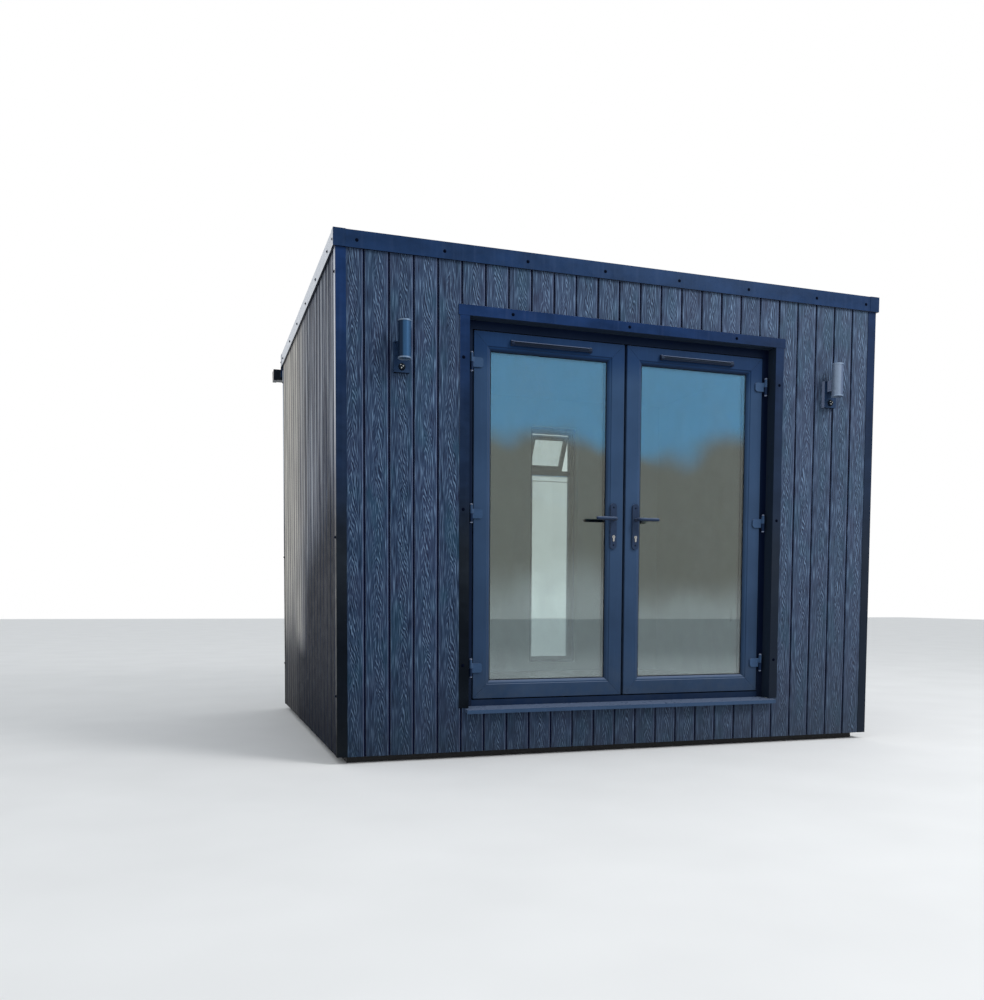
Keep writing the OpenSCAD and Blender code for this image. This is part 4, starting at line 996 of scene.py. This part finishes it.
def make_floor():
    """Laminate planks with bevelled edges, laid along the room."""
    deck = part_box("floor_deck")[1].z
    top, low = deck + 1.2 * MM, deck - 1.5 * MM
    width, length, edge, shortest = 0.192, 1.285, 0.9 * MM, 20 * MM
    shape = Shape()
    number = row = 0
    y = -ROOM_Y
    while y < ROOM_Y - 10 * MM:
        y1 = min(y + width, ROOM_Y)
        x = -ROOM_X - length * ((row * 0.37) % 1.0)
        while x < ROOM_X:
            x0, x1 = max(x, -ROOM_X), min(x + length, ROOM_X)
            if x1 - x0 > shortest:
                rings = [[(x0 + inset, y + inset, z), (x1 - inset, y + inset, z),
                          (x1 - inset, y1 - inset, z), (x0 + inset, y1 - inset, z)]
                         for z, inset in ((low, 0.0), (top - edge, 0.2 * MM), (top, edge))]
                shape.add(loft(rings), uv=lambda p, n=number: (n, p[0]))
                number += 1
            x += length
        y += width
        row += 1
    shape.piece("floor_planks", "building", "floor_boards", [FLOOR])


def socket_plate(shape, wide, place):
    """A wall socket plate with its switches and pin slots, in (along, out, up) axes."""
    half, high, thick, edge = wide / 2, 43 * MM, 9 * MM, 3 * MM
    rings = [[(-half + inset, out, -high + inset), (-half + inset, out, high - inset),
              (half - inset, out, high - inset), (half - inset, out, -high + inset)]
             for out, inset in ((0.0, 0.0), (thick - edge, 0.0), (thick - edge * 0.3, edge * 0.5),
                                (thick, edge))]
    shape.add(loft(rings), place=place)
    for mid in (-36 * MM, 36 * MM) if wide > 0.1 else (0.0,):
        switch = mid - math.copysign(20 * MM, mid)
        shape.add(box((switch - 6 * MM, thick - 0.5 * MM, 12 * MM),
                      (switch + 6 * MM, thick + 2.2 * MM, 34 * MM)), place=place)
        for a, b, w, h in ((mid, 12 * MM, 2 * MM, 4 * MM), (mid - 11 * MM, -10 * MM, 3.2 * MM, 1.6 * MM),
                           (mid + 11 * MM, -10 * MM, 3.2 * MM, 1.6 * MM)):
            shape.add(box((a - w, thick - MM, b - h), (a + w, thick + 0.2 * MM, b + h)), 1, place=place)


def make_sockets():
    """A single socket on the rear wall and a double one on the right wall."""
    lo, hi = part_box("sockets")
    z = (lo.z + hi.z) / 2
    shape = Shape()
    rear = Matrix.Translation((0.030, ROOM_Y, z)) @ Matrix.Rotation(math.pi, 4, "Z")
    right = Matrix.Translation((ROOM_X, 0.050, z)) @ Matrix.Rotation(math.pi / 2, 4, "Z")
    socket_plate(shape, 86 * MM, rear)
    socket_plate(shape, 146 * MM, right)
    shape.piece("socket_plates", "building", "white_socket", [SOCKET, SHADE], ["sockets"])


def make_roof_laps():
    """Lap joints across the roof sheet."""
    lo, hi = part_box("roof_membrane")
    front_z, rear_z = hi.z, lo.z + 3 * MM
    slope = (rear_z - front_z) / (hi.y - lo.y)
    wide, thick, edge = 75 * MM, 1.6 * MM, 4 * MM
    shape = Shape()
    for y0 in (-0.38, 0.42):
        y1 = y0 + wide
        section = [(y, front_z + slope * (y - lo.y) + up) for y, up in (
            (y0, -MM), (y1, -MM), (y1 - edge, thick), (y0 + edge, thick))]
        shape.add(loft([[(x, y, z) for y, z in section] for x in (lo.x, hi.x)]))
    shape.piece("roof_laps", "building", "roof_rubber", [ROOF])


def make_window_seals():
    """Seal round the fixed pane of the rear window, below the fanlight."""
    lo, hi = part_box("rear_window_frame")
    top, bar, fanlight = 2.106, 0.042, 0.280
    shape = Shape()
    mitred_ring(shape, (lo.x, lo.z), (hi.x, top - bar - fanlight - bar + 0.4 * MM), lo.y + 20.7 * MM,
                in_metres((0, 40), (0, 44.5), (1.6, 44), (2.2, 42.5)), gap=0.0)
    shape.piece("rear_window_seals", "building", "frame_foil", [GASKET])


# ---------------- stage

def make_stage():
    """Plain pale floor, even light from all sides, a soft key light and a white background."""
    r = 30.0
    floor = bpy.data.meshes.new("studio_floor")
    floor.from_pydata([(-r, -r, 0), (r, -r, 0), (r, r, 0), (-r, r, 0)], [], [(0, 1, 2, 3)])
    ground = new_object("studio_floor", floor)
    m = Mat("studio_floor", rough=0.9)
    soft = m.noise(2.0, 2.0, 0.5)
    m.set("Base Color", m.mix(m.spread(soft), srgb(234, 234, 234), srgb(238, 238, 238)))
    m.shader.inputs["Specular IOR Level"].default_value = 0.1
    floor.materials.append(m.m)

    world = bpy.data.worlds.new("studio")
    bpy.context.scene.world = world
    world.use_nodes = True
    tree = world.node_tree
    tree.nodes.clear()

    def background(colour, strength):
        node = tree.nodes.new("ShaderNodeBackground")
        node.inputs["Color"].default_value = colour
        node.inputs["Strength"].default_value = strength
        return node.outputs[0]

    path = tree.nodes.new("ShaderNodeLightPath")
    seen = path.outputs["Is Camera Ray"]
    for name in ("Is Glossy Ray", "Is Transmission Ray"):
        most = tree.nodes.new("ShaderNodeMath")
        most.operation = "MAXIMUM"
        tree.links.new(seen, most.inputs[0])
        tree.links.new(path.outputs[name], most.inputs[1])
        seen = most.outputs[0]
    mix = tree.nodes.new("ShaderNodeMixShader")
    out = tree.nodes.new("ShaderNodeOutputWorld")
    tree.links.new(seen, mix.inputs[0])
    tree.links.new(background((0.93, 0.97, 1.0, 1.0), 0.78), mix.inputs[1])
    tree.links.new(background((1.0, 1.0, 1.0, 1.0), 1.0), mix.inputs[2])
    tree.links.new(mix.outputs[0], out.inputs["Surface"])

    light = bpy.data.lights.new("key_light", "AREA")
    light.shape, light.size, light.energy = "DISK", 3.2, 300.0
    lamp = new_object("key_light", light)
    lamp.location = (3.6, -5.6, 6.2)
    lamp.rotation_euler = (Vector((0, 0, 1.2)) - lamp.location).to_track_quat("-Z", "Y").to_euler()


def make_camera():
    """The photograph's camera, solved from the building's edges and board grooves."""
    place = (-2.2089, -5.5954, 0.7978)
    pan, tilt, roll = -0.3203, -0.0556, -0.0050
    data = bpy.data.cameras.new("photo_camera")
    data.sensor_width = 36.0
    data.sensor_fit = "AUTO"
    data.lens = 33.44
    data.shift_y = 0.15
    data.clip_end = 200.0
    camera = new_object("photo_camera", data)
    level = Matrix.Rotation(math.pi / 2, 4, "X")
    camera.matrix_world = (Matrix.Translation(place) @ Matrix.Rotation(pan, 4, "Z")
                           @ Matrix.Rotation(tilt, 4, "X") @ Matrix.Rotation(roll, 4, "Y") @ level)
    bpy.context.scene.camera = camera


# ---------------- the whole

def dress(material, *names, bevel=0.0, segments=2):
    """Gives CAD nodes their material, and rounds their edges."""
    for name in names:
        obj = NODES[name]
        obj.data.materials.clear()
        obj.data.materials.append(material)
        if not obj.data.uv_layers:
            obj.data.uv_layers.new(name="UVMap")
        if bevel:
            round_edges(obj, bevel, segments)


dress(TRIM, "corner_trims", "door_trims", bevel=0.8 * MM)
dress(FASCIA, "front_fascia", "left_fascia", "right_fascia", "rear_fascia", bevel=MM)
dress(CAP, "fascia_caps", bevel=0.5 * MM)
dress(FRAME, "door_frame_jambs", "door_frame_head", bevel=1.2 * MM)
dress(THRESHOLD, "door_threshold", bevel=1.2 * MM)
dress(WINDOW, "rear_window_frame", "rear_fanlight", bevel=1.2 * MM)
dress(SILL, "door_sill", bevel=1.5 * MM, segments=3)
dress(LINING, "front_wall_left", "front_wall_right", "front_wall_over_door", "left_wall",
      "right_wall", "rear_wall_left", "rear_wall_right")
dress(CEILING, "roof_deck")
dress(SUBFLOOR, "floor_deck")
dress(BASE, "base_frame", bevel=2 * MM)
dress(ROOF, "roof_membrane")
dress(GUTTER, "gutter_left", "gutter_right", "downpipe")
dress(LAMP, "light_brackets", bevel=1.6 * MM)
dress(TUBE, "light_tubes", bevel=0.6 * MM)
dress(STEEL, "fanlight_stays", bevel=0.4 * MM)
dress(REAR_GLASS, "rear_window_glass")
dress(BARREL, "frame_hinge_leaves", bevel=0.6 * MM)
dress(HINGE, "left_hinge_leaves", "right_hinge_leaves", bevel=0.6 * MM)
dress(HANDLE, "left_handle_plates", "right_handle_plates", bevel=1.6 * MM, segments=3)
dress(HANDLE, "left_lever", "right_lever")

make_cladding()
make_door(right=True)
make_door(right=False)
make_hinge_caps()
make_screws()
make_head_lap()
make_lights()
make_floor()
make_sockets()
make_roof_laps()
make_window_seals()
make_stage()
make_camera()

bpy.context.scene.view_settings.view_transform = "Standard"
